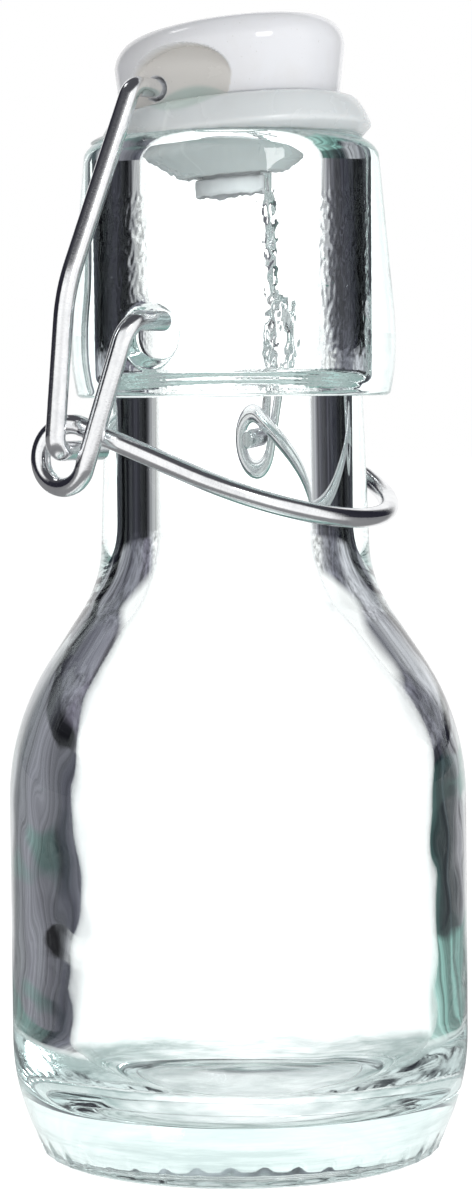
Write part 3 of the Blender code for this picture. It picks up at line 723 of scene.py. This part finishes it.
def base_outline(s, step):
    """Heel, bearing ring and push-up, from the body wall to the axis."""
    lean = math.degrees(math.asin((s.heel_height - s.bearing_round) / s.heel_curve))
    heel = arc((s.body_radius - s.heel_curve, s.heel_height), s.heel_curve, 0, -lean, step)
    toe_radius = heel[-1][0] - s.bearing_round * math.cos(math.radians(lean))
    toe = arc((toe_radius, s.bearing_round), s.bearing_round, -lean, -90, step / 8)
    inner_edge = toe_radius - s.bearing_width
    inner_round = arc((inner_edge, s.bearing_round / 2), s.bearing_round / 2, -90, BEARING_TURN_IN, step / 8)
    rim_z = s.push_up_height * s.push_up_rim
    step_z = rim_z + s.push_up_step_height
    soft = s.push_up_step_height / 2
    lower = arc((s.push_up_step_radius + soft, rim_z + soft), soft, -90, -180, step / 8)
    upper = arc((s.push_up_step_radius - soft, step_z - soft), soft, 0, 90, step / 8)
    rows = max(8, math.ceil(s.push_up_step_radius / step))
    start = upper[-1][0]
    dome = [(start * (1 - i / rows), step_z + (s.push_up_height - step_z) * math.sin(i / rows * math.pi / 2))
            for i in range(1, rows + 1)]
    return heel + toe[1:] + inner_round + lower + upper + dome


def inside_outline(s, step):
    """The inside, from the middle of the floor up to the lip."""
    inner_radius = s.body_radius - s.body_wall
    neck_bore = s.neck_foot_radius - s.neck_wall
    floor_z = s.push_up_height + s.base_thickness
    heel = arc((inner_radius - s.inner_heel_round, floor_z - s.floor_crown + s.inner_heel_round),
               s.inner_heel_round, -90, 0, step)
    low = (inner_radius, s.body_height + s.inner_lift)
    high = (neck_bore, s.body_height + s.shoulder_height + s.inner_lift)
    shoulder = swept_shoulder(low, high, s.inner_shoulder_curve, s.inner_neck_curve, step)
    step_z = s.body_height + s.shoulder_height + s.neck_height + s.bore_step_lift
    lip_inner = s.collar_radius * s.lip_rim - s.lip_round
    lip_z = RIM_Z - s.lip_round
    soft = (s.bore_radius - neck_bore) / 2
    bore = arc((neck_bore + soft, step_z), soft, 180, 180 - BORE_STEP_SLOPE, step / 4)
    bore += arc((s.bore_radius - soft, step_z + s.bore_step), soft, -BORE_STEP_SLOPE, 0, step / 4)
    bore.append(((s.bore_radius + lip_inner) / 2, lip_z - s.lip_round))
    return [(0, floor_z)] + heel + shoulder + bore


def dimpled(s, point, centre_z):
    """Push a point of the collar's side into a pivot dimple."""
    away = math.hypot(point.y, point.z - centre_z)
    if away > s.dimple_mouth:
        return point
    floor_x = s.collar_radius - s.dimple_depth
    slope = smooth_step((away - s.dimple_floor) / (s.dimple_mouth - s.dimple_floor))
    depth = (abs(point.x) - floor_x) * (1 - slope)
    return Vector((math.copysign(abs(point.x) - depth, point.x), point.y, point.z))


def pushed(point, distance):
    """Move a point away from the axis."""
    radius = math.hypot(point.x, point.y)
    if radius == 0:
        return point
    scale = (radius + distance) / radius
    return Vector((point.x * scale, point.y * scale, point.z))


class OILBOTTLE_OT_glass(bpy.types.Operator):
    """Turn the glass and give it dimples, knurls and its uneven surfaces"""
    bl_idname = "oil_bottle.glass"
    bl_label = "Add the glass"

    def execute(self, context):
        s = context.scene.glass_sizes
        collar_z = s.body_height + s.shoulder_height + s.neck_height
        dimple_z = collar_z + s.dimple_height
        row = s.row_step

        def inner_step(z0, z1):
            return s.fine_step if min(z0, z1) > collar_z - s.row_step else row

        def outer_step(z0, z1):
            near_dimple = abs((z0 + z1) / 2 - dimple_z) < s.dimple_mouth + s.row_step
            near_floor = max(z0, z1) < 2 * s.bearing_round
            return s.fine_step if near_dimple or near_floor else row

        inner = stepped(inside_outline(s, row), inner_step)
        shoulder = swept_shoulder((s.body_radius, s.body_height),
                                  (s.neck_foot_radius, s.body_height + s.shoulder_height),
                                  s.shoulder_curve, s.neck_curve, row)
        collar = collar_outline(s, row)
        long_collar = []
        for (r0, z0), (r1, z1) in zip(collar, collar[1:]):
            long_collar += stepped([(r0, z0), (r1, z1)], outer_step)[:-1]
        neck = [collar[-1], (s.neck_top_radius, collar_z)]
        outer = long_collar + stepped(neck + shoulder[::-1] + base_outline(s, row), outer_step)
        bm, rings = turned_grid(inner + outer, s.columns)
        for number, ring in enumerate(rings):
            inside = number < len(inner)
            for vert in ring:
                vert.co = self.uneven(s, vert.co, inside, collar_z, dimple_z)
        glass = piece_from(bm, "bottle_glass", glass_material(context.scene.finishes), crease=75)
        dress(glass, "bottle", "glass_bottle")
        return {"FINISHED"}

    @staticmethod
    def uneven(s, point, inside, collar_z, dimple_z):
        """Give one point its share of the pebbled bore, the uneven walls, the dimples and the knobs."""
        radius = math.hypot(point.x, point.y)
        if inside:
            return hollowed(s, point, radius, collar_z)
        skin = smooth_step((point.z - 2 * s.bearing_round) / s.heel_height)
        skin *= smooth_step((s.body_height + s.shoulder_height - point.z) / s.body_height)
        wave = min(0, noise.noise(point / s.wall_wave_size) - 0.5) * s.skin_wave * skin
        outside = (radius - s.body_radius + s.heel_height / 3) / s.bearing_round
        band = smooth_step(1 - abs(point.z / s.bearing_round - s.knurl_rise) / s.knurl_reach)
        band *= smooth_step(outside + s.knurl_start)
        knob = max(0, math.cos(s.knurls * math.atan2(point.y, point.x))) ** s.knurl_shape
        return dimpled(s, pushed(point, wave + s.knurl_depth * band * knob), dimple_z)


def hollowed(s, point, radius, collar_z):
    """Move a point of the inside: pebbles in the bore, and a thick and a thin side in the body."""
    lip_z = RIM_Z - s.lip_round
    in_bore = smooth_step((point.z - collar_z) / s.bore_step) * smooth_step((lip_z - point.z) / s.lip_round)
    pebble = noise.noise(point / s.pebble_size) + FINE_SHARE * noise.noise(point / s.pebble_size * FINER)
    below = s.body_height + s.shoulder_height - s.neck_wall / 2 - point.z
    in_body = smooth_step(below / (s.hollow_fade * s.shoulder_height))
    wave = noise.noise(point / s.wall_wave_size) * s.wall_wave
    wave += noise.noise(point / s.wall_ripple_size) * s.wall_ripple
    # The waves fade toward the axis, between three quarters and one quarter of the neck's radius
    wave *= in_body * smooth_step(2 * radius / s.neck_foot_radius - 0.5)
    bearing = math.atan2(point.y, point.x) - s.bulge_bearing
    turned_away = math.sin(bearing / 2) ** 2 / math.sin(s.bulge_width / 2) ** 2
    rise = (point.z - s.bulge_height) / s.bulge_spread
    wave -= s.bulge * math.exp(-rise * rise - turned_away)
    moved = pushed(point, wave + pebble * s.pebble_depth * in_bore)
    return moved + RIGHT * s.wall_shift * in_body


def bent_route(corners, step):
    """Run straight between corners and round each with its bend radius."""
    route = [corners[0][0]]
    for (before, _), (corner, radius), (after, _) in zip(corners, corners[1:], corners[2:]):
        back = before - corner
        ahead = after - corner
        turn = math.pi - back.angle(ahead)
        limit = min(back.length, ahead.length) / 2
        tangent = min(radius * math.tan(turn / 2), limit)
        bend = tangent / math.tan(turn / 2)
        inward = (back.normalized() + ahead.normalized()).normalized()
        centre = corner + inward * math.hypot(tangent, bend)
        start = corner + back.normalized() * tangent - centre
        axis = back.cross(ahead).normalized()
        count = max(2, math.ceil(turn / step))
        for i in range(count + 1):
            route.append(centre + Matrix.Rotation(-turn * i / count, 3, axis) @ start)
    route.append(corners[-1][0])
    return route


def mirrored_route(half):
    """Repeat a left half, which ends on the middle plane, on the right."""
    return half + [Vector((-p.x, p.y, p.z)) for p in reversed(half)][1:]


def side_point(x, point, across=0, up=0):
    """A point at x whose side-view place is set off from another."""
    return Vector((x, point.y + across, point.z + up))


def evenly(route, step):
    """Divide the long runs of a route."""
    points = [route[0]]
    for before, after in zip(route, route[1:]):
        count = max(1, math.ceil((after - before).length / step))
        points += [before.lerp(after, i / count) for i in range(1, count + 1)]
    return [p for i, p in enumerate(points) if i == 0 or (p - points[i - 1]).length > TOUCHING]


def swept_wire(route, s, name, finish):
    """Sweep a round wire along a route, with chamfered cut ends and lengthwise coordinates."""
    route = evenly(route, 2 * s.wire_radius)
    bm = bmesh.new()
    uv = bm.loops.layers.uv.new("Wire")
    width = math.tau * s.wire_radius * s.uv_across
    ends = [(0, s.wire_radius - s.tip_chamfer), (s.tip_chamfer, s.wire_radius)]
    start = (route[1] - route[0]).normalized()
    stop = (route[-1] - route[-2]).normalized()
    stations = [(route[0] + start * along, radius) for along, radius in ends]
    stations += [(point, s.wire_radius) for point in route[1:-1]]
    stations += [(route[-1] - stop * along, radius) for along, radius in reversed(ends)]
    across = start.orthogonal().normalized()
    heading = start
    travelled = 0
    rings = []
    for number, (point, radius) in enumerate(stations):
        before = stations[max(0, number - 1)][0]
        after = stations[min(len(stations) - 1, number + 1)][0]
        new_heading = (after - before).normalized()
        across = heading.rotation_difference(new_heading) @ across
        across = (across - new_heading * across.dot(new_heading)).normalized()
        heading = new_heading
        other = heading.cross(across)
        travelled += (point - before).length
        angles = [math.tau * i / s.sides for i in range(s.sides)]
        ring = [bm.verts.new(point + radius * (math.cos(a) * across + math.sin(a) * other)) for a in angles]
        rings.append((ring, travelled))
    for (ring, low), (following, high) in zip(rings, rings[1:]):
        for i in range(s.sides):
            after = (i + 1) % s.sides
            face = bm.faces.new((ring[i], ring[after], following[after], following[i]))
            for loop, (side, along) in zip(face.loops, ((i, low), (i + 1, low), (i + 1, high), (i, high))):
                loop[uv].uv = (side / s.sides * width, along * s.uv_along)
    for ring, _ in (rings[0], rings[-1]):
        bm.faces.new(ring)
    return piece_from(bm, name, finish, crease=30)


def handle_bow(s, start, neck_radius):
    """Half of the handle: a straight run from the eyelet that touches the oval bow round the neck."""
    half_width = neck_radius + s.handle_side_gap + s.wire_radius
    depth = half_width * s.handle_bow_depth
    centre_y = depth - neck_radius - s.handle_front_gap - s.wire_radius
    across = -start.x / half_width
    behind = (start.y - centre_y) / depth
    first = math.atan2(behind, across) - math.acos(1 / math.hypot(across, behind))
    sweep = first + math.pi / 2
    count = math.ceil(sweep / s.bend_step)
    slope = math.tan(s.handle_slope)
    bow = []
    for i in range(count + 1):
        angle = first - sweep * i / count
        y = centre_y + depth * math.sin(angle)
        bow.append(Vector((-half_width * math.cos(angle), y, start.z + (y - start.y) * slope)))
    return bow


class OILBOTTLE_OT_lever(bpy.types.Operator):
    """Bend the lever: stubs in the dimples, arms, wound eyelets and the handle round the neck"""
    bl_idname = "oil_bottle.lever"
    bl_label = "Add the lever wire"

    def execute(self, context):
        s = context.scene.wire_sizes
        g = context.scene.glass_sizes
        eyelet = PIVOT + Vector((0, s.eyelet_back, -s.eyelet_drop))
        reach = math.hypot(s.eyelet_back, s.eyelet_drop)
        arm_heading = math.atan2(-s.eyelet_drop, s.eyelet_back) - math.asin(s.eyelet_radius / reach)
        handle_heading = math.pi + s.handle_slope
        pitch = 2 * s.wire_radius + s.seat_gap
        count = math.ceil((handle_heading - arm_heading) / s.bend_step)
        turn = []
        for i in range(count + 1):
            spoke = arm_heading + (handle_heading - arm_heading) * i / count - math.pi / 2
            x = -s.arm_spread + pitch * i / count
            across, up = s.eyelet_radius * math.cos(spoke), s.eyelet_radius * math.sin(spoke)
            turn.append(side_point(x, eyelet, across, up))
        tip = side_point(-(g.collar_radius - g.dimple_depth + 2 * s.seat_gap), PIVOT)
        elbow = side_point(-s.arm_spread, PIVOT)
        arm = bent_route([(tip, 0), (elbow, s.arm_bend), (turn[0], 0)], s.bend_step)
        route = mirrored_route(arm[:-1] + turn + handle_bow(s, turn[-1], g.neck_foot_radius))
        lever = swept_wire(route, s, "bent_lever_wire", zinc_material(context.scene.finishes))
        dress(lever, "lever", "lever_wire")
        return {"FINISHED"}


class OILBOTTLE_OT_bail(bpy.types.Operator):
    """Bend the bail: hooks in the eyelets, kneed legs and the cross run through the cap"""
    bl_idname = "oil_bottle.bail"
    bl_label = "Add the bail wire"

    def execute(self, context):
        s = context.scene.wire_sizes
        leg_x = s.arm_spread + 2 * s.wire_radius + s.seat_gap
        tip = side_point(-(leg_x - s.hook_length), HOOK)
        heel = side_point(-leg_x, HOOK)
        knee = HOOK.lerp(CROSS_HOLE, s.knee)
        knee.x = -leg_x
        top = side_point(-s.top_spread, CROSS_HOLE)
        half = bent_route([(tip, 0), (heel, s.hook_bend), (knee, s.knee_bend), (top, s.top_bend),
                           (CROSS_HOLE, 0)], s.bend_step)
        bail = swept_wire(mirrored_route(half), s, "bent_bail_wire", zinc_material(context.scene.finishes))
        dress(bail, "bail", "bail_wire")
        return {"FINISHED"}


def slanted(s, point, forward=0):
    """Set a point of the stopper on its axis, over the seat plane that slants down toward the back."""
    rise = max(0, point.z / s.cap_height)
    fall = (math.tan(s.slant) + math.tan(s.dome_lean) * rise) * point.y
    return Vector((point.x, point.y + s.set_back - forward, point.z + RIM_Z + s.seat_height - fall))


def cap_outline(s, step):
    """Domed cap, foot, stem and bead, from the top of the dome down to the bead."""
    edge_r = s.cap_radius - s.edge_round
    dome_z = s.cap_height - s.dome_curve
    edge_z = dome_z + math.sqrt((s.dome_curve - s.edge_round) ** 2 - edge_r ** 2)
    edge_angle = math.degrees(math.atan2(edge_z - dome_z, edge_r))
    dome = arc((0, dome_z), s.dome_curve, 90, edge_angle, step)
    edge = arc((edge_r, edge_z), s.edge_round, edge_angle, 0, step / 2)
    foot = arc((s.cap_foot_radius - s.foot_round, s.foot_round), s.foot_round, 0, -90, step / 4)
    bead_top = s.bead_height - s.stem_length
    upper_bead = arc((s.bead_radius - s.bead_round, bead_top - s.bead_round), s.bead_round, 90, 0, step / 4)
    lower_bead = arc((s.bead_radius - s.bead_round, s.bead_round - s.stem_length), s.bead_round, 0, -90,
                     step / 4)
    stem = [(s.stem_radius, 0), (s.stem_radius, bead_top)] + upper_bead + lower_bead
    return [(0, s.cap_height)] + dome[1:] + edge[1:] + foot + stem + [(0, -s.stem_length)]


class OILBOTTLE_OT_cap(bpy.types.Operator):
    """Turn the cap, sink its side pockets and bore the hole for the bail"""
    bl_idname = "oil_bottle.cap"
    bl_label = "Add the stopper cap"

    def execute(self, context):
        s = context.scene.stopper_sizes
        w = context.scene.wire_sizes
        step = s.edge_round / s.edge_facets
        outline = stepped(cap_outline(s, step), lambda z0, z1: step if max(z0, z1) > 0 else 2 * step)
        bm = turned_grid(outline, s.cap_columns)[0]
        pocket = bm.verts.layers.float.new("pocket")
        shade = bm.verts.layers.float.new("shade")
        for vert in bm.verts:
            vert[shade] = pocket_shade(s, vert.co)
            vert.co, vert[pocket] = self.pocketed(s, vert.co)
            vert.co = slanted(s, vert.co)
        cap = piece_from(bm, "domed_cap", cap_material(context.scene.finishes))
        self.bore(cap, s, w.wire_radius + w.seat_gap)
        dress(cap, "stopper", "stopper_cap")
        return {"FINISHED"}

    @staticmethod
    def pocketed(s, point):
        """Flatten a point into the arched pocket of its side; also how far it lies in the pocket."""
        floor_x = s.cap_radius - s.pocket_depth
        if abs(point.x) < floor_x or point.z < 0:
            return point, 0.0
        up = max(0, point.z - s.hole_height) / s.pocket_rise
        away = math.hypot(point.y / s.pocket_half, up)
        inward = smooth_step((1 - away) * s.pocket_half / s.pocket_edge)
        x = abs(point.x) - (abs(point.x) - floor_x) * inward
        return Vector((math.copysign(x, point.x), point.y, point.z)), inward

    @staticmethod
    def bore(cap, s, radius):
        """Cut the bail's hole along X."""
        bm = bmesh.new()
        turn = Matrix.Translation(CROSS_HOLE) @ Matrix.Rotation(math.pi / 2, 4, "Y")
        bmesh.ops.create_cone(bm, cap_ends=True, segments=s.hole_columns, radius1=radius, radius2=radius,
                              depth=4 * s.cap_radius, matrix=turn)
        drill = piece_from(bm, "hole_drill")
        cut = cap.modifiers.new("Bail hole", "BOOLEAN")
        cut.operation = "DIFFERENCE"
        cut.object = drill
        solid = bpy.data.meshes.new_from_object(cap.evaluated_get(bpy.context.evaluated_depsgraph_get()))
        cap.modifiers.clear()
        cap.data = solid
        bpy.data.objects.remove(drill)


def pocket_shade(s, point):
    """Mask of painted shade: 1 in the lens-shaped lip under a side pocket, fading to 0 round it."""
    middle = (s.shade_to - s.shade_from) / 2
    half = (s.shade_to + s.shade_from) / 2
    lens = max(0, 1 - ((point.y - middle) / half) ** 2)
    if abs(point.x) < s.cap_radius / 2 or lens == 0:
        return 0.0
    away = abs(point.z) / (s.shade_drop * lens)
    return math.sqrt(lens) * (1 - smooth_step((away - s.shade_core) / s.shade_fade))


def ring_outline(s, gap):
    """Seal: a skirt that widens downward, an upright edge and a cone that enters the mouth."""
    top = -s.cap_seam
    bore = s.stem_radius + s.ring_forward + s.ring_slack
    foot = s.bead_height - s.stem_length + gap
    widen = s.ring_radius - s.ring_top_radius
    fall = s.skirt_height + gap + top
    reaches = [i / s.skirt_facets for i in range(s.skirt_facets + 1)]
    skirt = [(s.ring_top_radius + widen * math.sqrt(reach), top - fall * reach) for reach in reaches]
    edge_z = -gap - s.skirt_height - s.ring_edge
    chamfer = (s.ring_radius - s.ring_chamfer, edge_z - s.ring_chamfer)
    return [(bore, top)] + skirt + [(s.ring_radius, edge_z), chamfer, (s.cone_radius, chamfer[1]),
                                   (s.cone_foot_radius, foot), (bore, foot)]


class OILBOTTLE_OT_seal(bpy.types.Operator):
    """Turn the soft ring and press it where the glass lip squeezes it"""
    bl_idname = "oil_bottle.seal"
    bl_label = "Add the sealing ring"

    def execute(self, context):
        s = context.scene.stopper_sizes
        g = context.scene.glass_sizes
        w = context.scene.wire_sizes
        outline = ring_outline(s, w.seat_gap)
        outline = stepped(outline + outline[:1], lambda z0, z1: s.ring_chamfer / 3)[:-1]
        bm = closed_grid(outline, s.seal_columns)
        line = bm.verts.layers.float.new("mould_line")
        shade = bm.verts.layers.float.new("shade")
        for vert in bm.verts:
            bearing = math.atan2(vert.co.y, vert.co.x)
            vert[line] = 1 - smooth_step(abs(math.sin(bearing)) / s.mould_line)
            vert[shade] = pocket_shade(s, vert.co)
            vert.co = self.pressed(g, w.seat_gap, slanted(s, vert.co, s.ring_forward))
        seal = piece_from(bm, "soft_seal", seal_material(context.scene.finishes), crease=50)
        dress(seal, "stopper", "sealing_ring")
        return {"FINISHED"}

    @staticmethod
    def pressed(g, gap, point):
        """Keep a point clear of the rounded lip."""
        radius = math.hypot(point.x, point.y)
        lip = Vector((g.collar_radius * g.lip_rim, RIM_Z - g.lip_round))
        away = Vector((radius, point.z)) - lip
        clear = g.lip_round + gap
        if away.length >= clear or away.length == 0:
            return point
        away = away.normalized() * clear
        scale = (lip.x + away.x) / radius
        return Vector((point.x * scale, point.y * scale, lip.y + away.y))


def tone_ramp(tree, turn, tones):
    """Colour by bearing, from a grey or a colour at some degrees."""
    node = add(tree, "ValToRGB", {"Fac": turn})
    stops = node.color_ramp.elements
    while len(stops) > 1:
        stops.remove(stops[-1])
    for number, (degrees, tone) in enumerate(tones.items()):
        place_on_ramp = (degrees + 180) / 360
        stop = stops[0] if number == 0 else stops.new(place_on_ramp)
        stop.position = place_on_ramp
        stop.color = (*tone, 1) if isinstance(tone, tuple) else (tone, tone, tone, 1)
    return node.outputs["Color"]


def room_group():
    """Node group: tones of the room by bearing, for metal outside and for light in the glass."""
    name = "Room tones"
    if name in bpy.data.node_groups:
        return bpy.data.node_groups[name]
    group, source = new_group(name, {"Way": "Vector", "Body": "Float", "Foot": "Float", "Raised": "Float"},
                              {"Walls": "Color", "Inner": "Color", "Stray": "Color"})
    way = add(group, "VectorMath", {0: source["Way"]}, operation="NORMALIZE").outputs[0]
    bearing = calc(group, "ARCTAN2", part_along(group, way, RIGHT), part_along(group, way, AHEAD))
    turn = spread_between(group, bearing, -math.pi, math.pi)
    tones = {label: tone_ramp(group, turn, stops) for label, stops in TONES.items()}
    lower = blend_of(group, source["Foot"], tones["body"], tones["foot"])
    level = blend_of(group, source["Body"], tones["far"], lower)
    inner = blend_of(group, source["Raised"], level, tones["raised"])
    clouds = noise_in(group, way, scale=11, detail=5, roughness=0.6)
    threads = noise_in(group, way, scale=5, detail=6, roughness=0.7)
    uneven = spread_between(group, clouds, 0.35, 0.65, start=0.45, end=1.55)
    lines = spread_between(group, threads, 0.44, 0.54)
    feed(group, group.nodes.new("NodeGroupOutput"), {"Walls": tones["walls"],
                                                     "Inner": scaled(group, inner, uneven),
                                                     "Stray": blend_of(group, lines, *STRAY)})
    return group


def room_tones(tree, values):
    """Place the room's tones in the world or on the floor."""
    made = place_group(tree, room_group(), values)
    return [made[label] for label in ("Walls", "Inner", "Stray")]


def kinds_of_ray(tree):
    """Masks: entered the glass, turned aside in it, turned aside more than once, lights a dull surface."""
    path = add(tree, "LightPath").outputs
    entered = over(tree, path["Transmission Depth"], ONCE)
    turned = times(tree, over(tree, path["Glossy Depth"], ONCE), entered)
    often = times(tree, over(tree, path["Glossy Depth"], TWICE), entered)
    dull = over(tree, path["Diffuse Depth"], ONCE)
    return path, entered, turned, often, dull


class OILBOTTLE_OT_stage(bpy.types.Operator):
    """Lay the pale floor, set the lights and place the camera"""
    bl_idname = "oil_bottle.stage"
    bl_label = "Add the stage"

    def execute(self, context):
        studio = context.scene.studio
        self.floor(studio)
        self.room(context.scene, studio)
        key_way = RIGHT * math.sin(studio.key_bearing) - AHEAD * math.cos(studio.key_bearing)
        key_way += UP * studio.key_rise
        self.soft_light("key_light", key_way * studio.key_distance, studio.key_size, studio.key_power)
        self.soft_light("fill_light", FILL_WAY * studio.fill_distance, studio.fill_size, studio.fill_power)
        self.camera(context.scene, studio)
        context.scene.view_settings.view_transform = "Standard"
        return {"FINISHED"}

    @staticmethod
    def floor(studio):
        """A wide pale disc that keeps a faint shadow; in the glass it turns into the room's tones."""
        bm = bmesh.new()
        bmesh.ops.create_circle(bm, cap_ends=True, segments=96, radius=studio.floor_radius)
        made, tree, shader = new_material("pale_floor")
        reach = add(tree, "VectorMath", {0: place(tree)}, operation="LENGTH").outputs["Value"]
        to_side = part_along(tree, place(tree), RIGHT)
        leaning = calc(tree, "MULTIPLY_ADD", to_side, -studio.foot_lean, reach)

        def nearer(value, span):
            low, high = (studio.far_floor * part for part in span)
            return spread_between(tree, value, low, high, start=1, end=0)

        foot = nearer(leaning, FOOT_SPAN)
        body = nearer(reach, BODY_SPAN)
        walls, inner, stray = room_tones(tree, {"Way": place(tree), "Body": body, "Foot": foot})
        away = spread_between(tree, reach, studio.near_floor, studio.near_floor * studio.near_fade)
        path, entered, turned, often, dull = kinds_of_ray(tree)
        aside = times(tree, turned, away)
        streaks = noise_in(tree, place(tree), scale=160, detail=4, roughness=0.65)
        streaked = calc(tree, "MULTIPLY_ADD", streaks, studio.streak_shift, calc(tree, "ABSOLUTE", to_side))
        under = blend_of(tree, spread_between(tree, streaked, studio.under_middle, studio.under_side), *UNDER)
        clear = blend_of(tree, away, under, [studio.through_level / studio.floor_glow] * 3)
        through = blend_of(tree, aside, clear, inner)
        foot_stray = blend_of(tree, spread_between(tree, streaks, 0.38, 0.56), *FOOT_STRAY)
        body_side = spread_between(tree, to_side, -studio.body_half, studio.body_half)
        near_stray = blend_of(tree, foot, blend_of(tree, body_side, *BODY_STRAY), foot_stray)
        lasting = blend_of(tree, nearer(reach, STRAY_SPAN), stray, near_stray)
        bounced = blend_of(tree, often, through, lasting)
        at_wall = spread_between(tree, reach, studio.dark_floor, studio.wall_floor)
        mirror = times(tree, path["Is Glossy Ray"], away)
        metal = blend_of(tree, mirror, studio.backdrop, blend_of(tree, at_wall, BLACK, walls))
        plain = blend_of(tree, dull, blend_of(tree, entered, metal, bounced), studio.backdrop)
        white = toned(studio.backdrop, studio.floor_white)
        grain = noise_in(tree, place(tree), scale=400, detail=4)
        paint = blend_of(tree, grain, studio.floor_paint, toned(studio.floor_paint, 0.97))
        feed(tree, shader, {"Base Color": blend_of(tree, aside, paint, (0, 0, 0)), "Roughness": 0.9,
                            "Emission Color": blend_of(tree, path["Is Camera Ray"], plain, white),
                            "Emission Strength": studio.floor_glow, "Specular IOR Level": 0})
        floor = piece_from(bm, "pale_floor", made)

    @staticmethod
    def room(scene, studio):
        """White paper for the camera; for glass and metal, white walls with dark stands beside the set."""
        scene.world = bpy.data.worlds.new("studio_room")
        scene.world.use_nodes = True
        tree = scene.world.node_tree
        tree.nodes.clear()
        way = add(tree, "TexCoord").outputs["Generated"]
        height = height_of(tree, way)
        raised = spread_between(tree, height, *RAISED_RISE)
        walls, inner, stray = room_tones(tree, {"Way": way, "Raised": raised})
        panels = blend_of(tree, spread_between(tree, height, *CEILING_RISE), walls, CEILING)
        path, entered, turned, often, dull = kinds_of_ray(tree)
        above = blend_of(tree, spread_between(tree, height, *WHITE_RISE), inner, WHITE_WALL)
        through = blend_of(tree, turned, [studio.through_level] * 3, above)
        seen = blend_of(tree, entered, panels, blend_of(tree, often, through, stray))
        to_side = part_along(tree, way, RIGHT)
        level = spread_between(tree, to_side, low=-1, start=studio.left_level, end=studio.right_level)
        plain = blend_of(tree, dull, seen, scaled(tree, (1, 1, 1), level))
        paper = blend_of(tree, path["Is Camera Ray"], plain, studio.backdrop)
        back = add(tree, "Background", {"Color": paper, "Strength": 1})
        feed(tree, add(tree, "OutputWorld"), {"Surface": back.outputs[0]})

    @staticmethod
    def soft_light(name, way, width, power):
        """A square soft box that faces the bottle's collar."""
        aim = UP * RIM_Z * LAMP_AIM
        lamp = bpy.data.lights.new(name, "AREA")
        lamp.size = width
        lamp.energy = power
        made = bpy.data.objects.new(name, lamp)
        made.location = aim + way
        made.rotation_euler = (-way).to_track_quat("-Z", "Y").to_euler()
        bpy.context.scene.collection.objects.link(made)

    @staticmethod
    def camera(scene, studio):
        """The photograph's viewing angle."""
        lens = bpy.data.cameras.new("camera")
        lens.sensor_fit = "VERTICAL"
        lens.angle = studio.view_angle
        eye = bpy.data.objects.new("camera", lens)
        forward = AHEAD * math.cos(studio.camera_pitch) - UP * math.sin(studio.camera_pitch)
        side = RIGHT * math.cos(studio.camera_roll) - RIGHT.cross(forward) * math.sin(studio.camera_roll)
        turn = Matrix((side, side.cross(forward), -forward)).transposed().to_4x4()
        spot = UP * studio.camera_height - AHEAD * studio.camera_distance
        eye.matrix_world = Matrix.Translation(spot) @ turn
        scene.collection.objects.link(eye)
        scene.camera = eye


class OILBOTTLE_PT_panel(bpy.types.Panel):
    """Sizes, colours and steps of the oil bottle"""
    bl_idname = "OILBOTTLE_PT_panel"
    bl_label = "Oil bottle"
    bl_space_type = "VIEW_3D"
    bl_region_type = "UI"
    bl_category = "Oil bottle"

    def draw(self, context):
        for operator in OPERATORS:
            self.layout.operator(operator.bl_idname)
        for name, group in GROUPS.items():
            box = self.layout.box()
            box.label(text=group.__doc__)
            for key in group.__annotations__:
                box.prop(getattr(context.scene, name), key)


OPERATORS = (OILBOTTLE_OT_glass, OILBOTTLE_OT_lever, OILBOTTLE_OT_bail, OILBOTTLE_OT_cap, OILBOTTLE_OT_seal,
             OILBOTTLE_OT_stage)


def register():
    """Register the classes and hang the settings on the scene."""
    for group in (*GROUPS.values(), *OPERATORS, OILBOTTLE_PT_panel):
        bpy.utils.register_class(group)
    for name, group in GROUPS.items():
        setattr(bpy.types.Scene, name, PointerProperty(type=group))


def unregister():
    """Undo register."""
    for name in GROUPS:
        delattr(bpy.types.Scene, name)
    for group in (OILBOTTLE_PT_panel, *reversed(OPERATORS), *GROUPS.values()):
        bpy.utils.unregister_class(group)


def main():
    register()
    for operator in OPERATORS:
        family, name = operator.bl_idname.split(".")
        getattr(getattr(bpy.ops, family), name)()


if __name__ == "__main__":
    main()
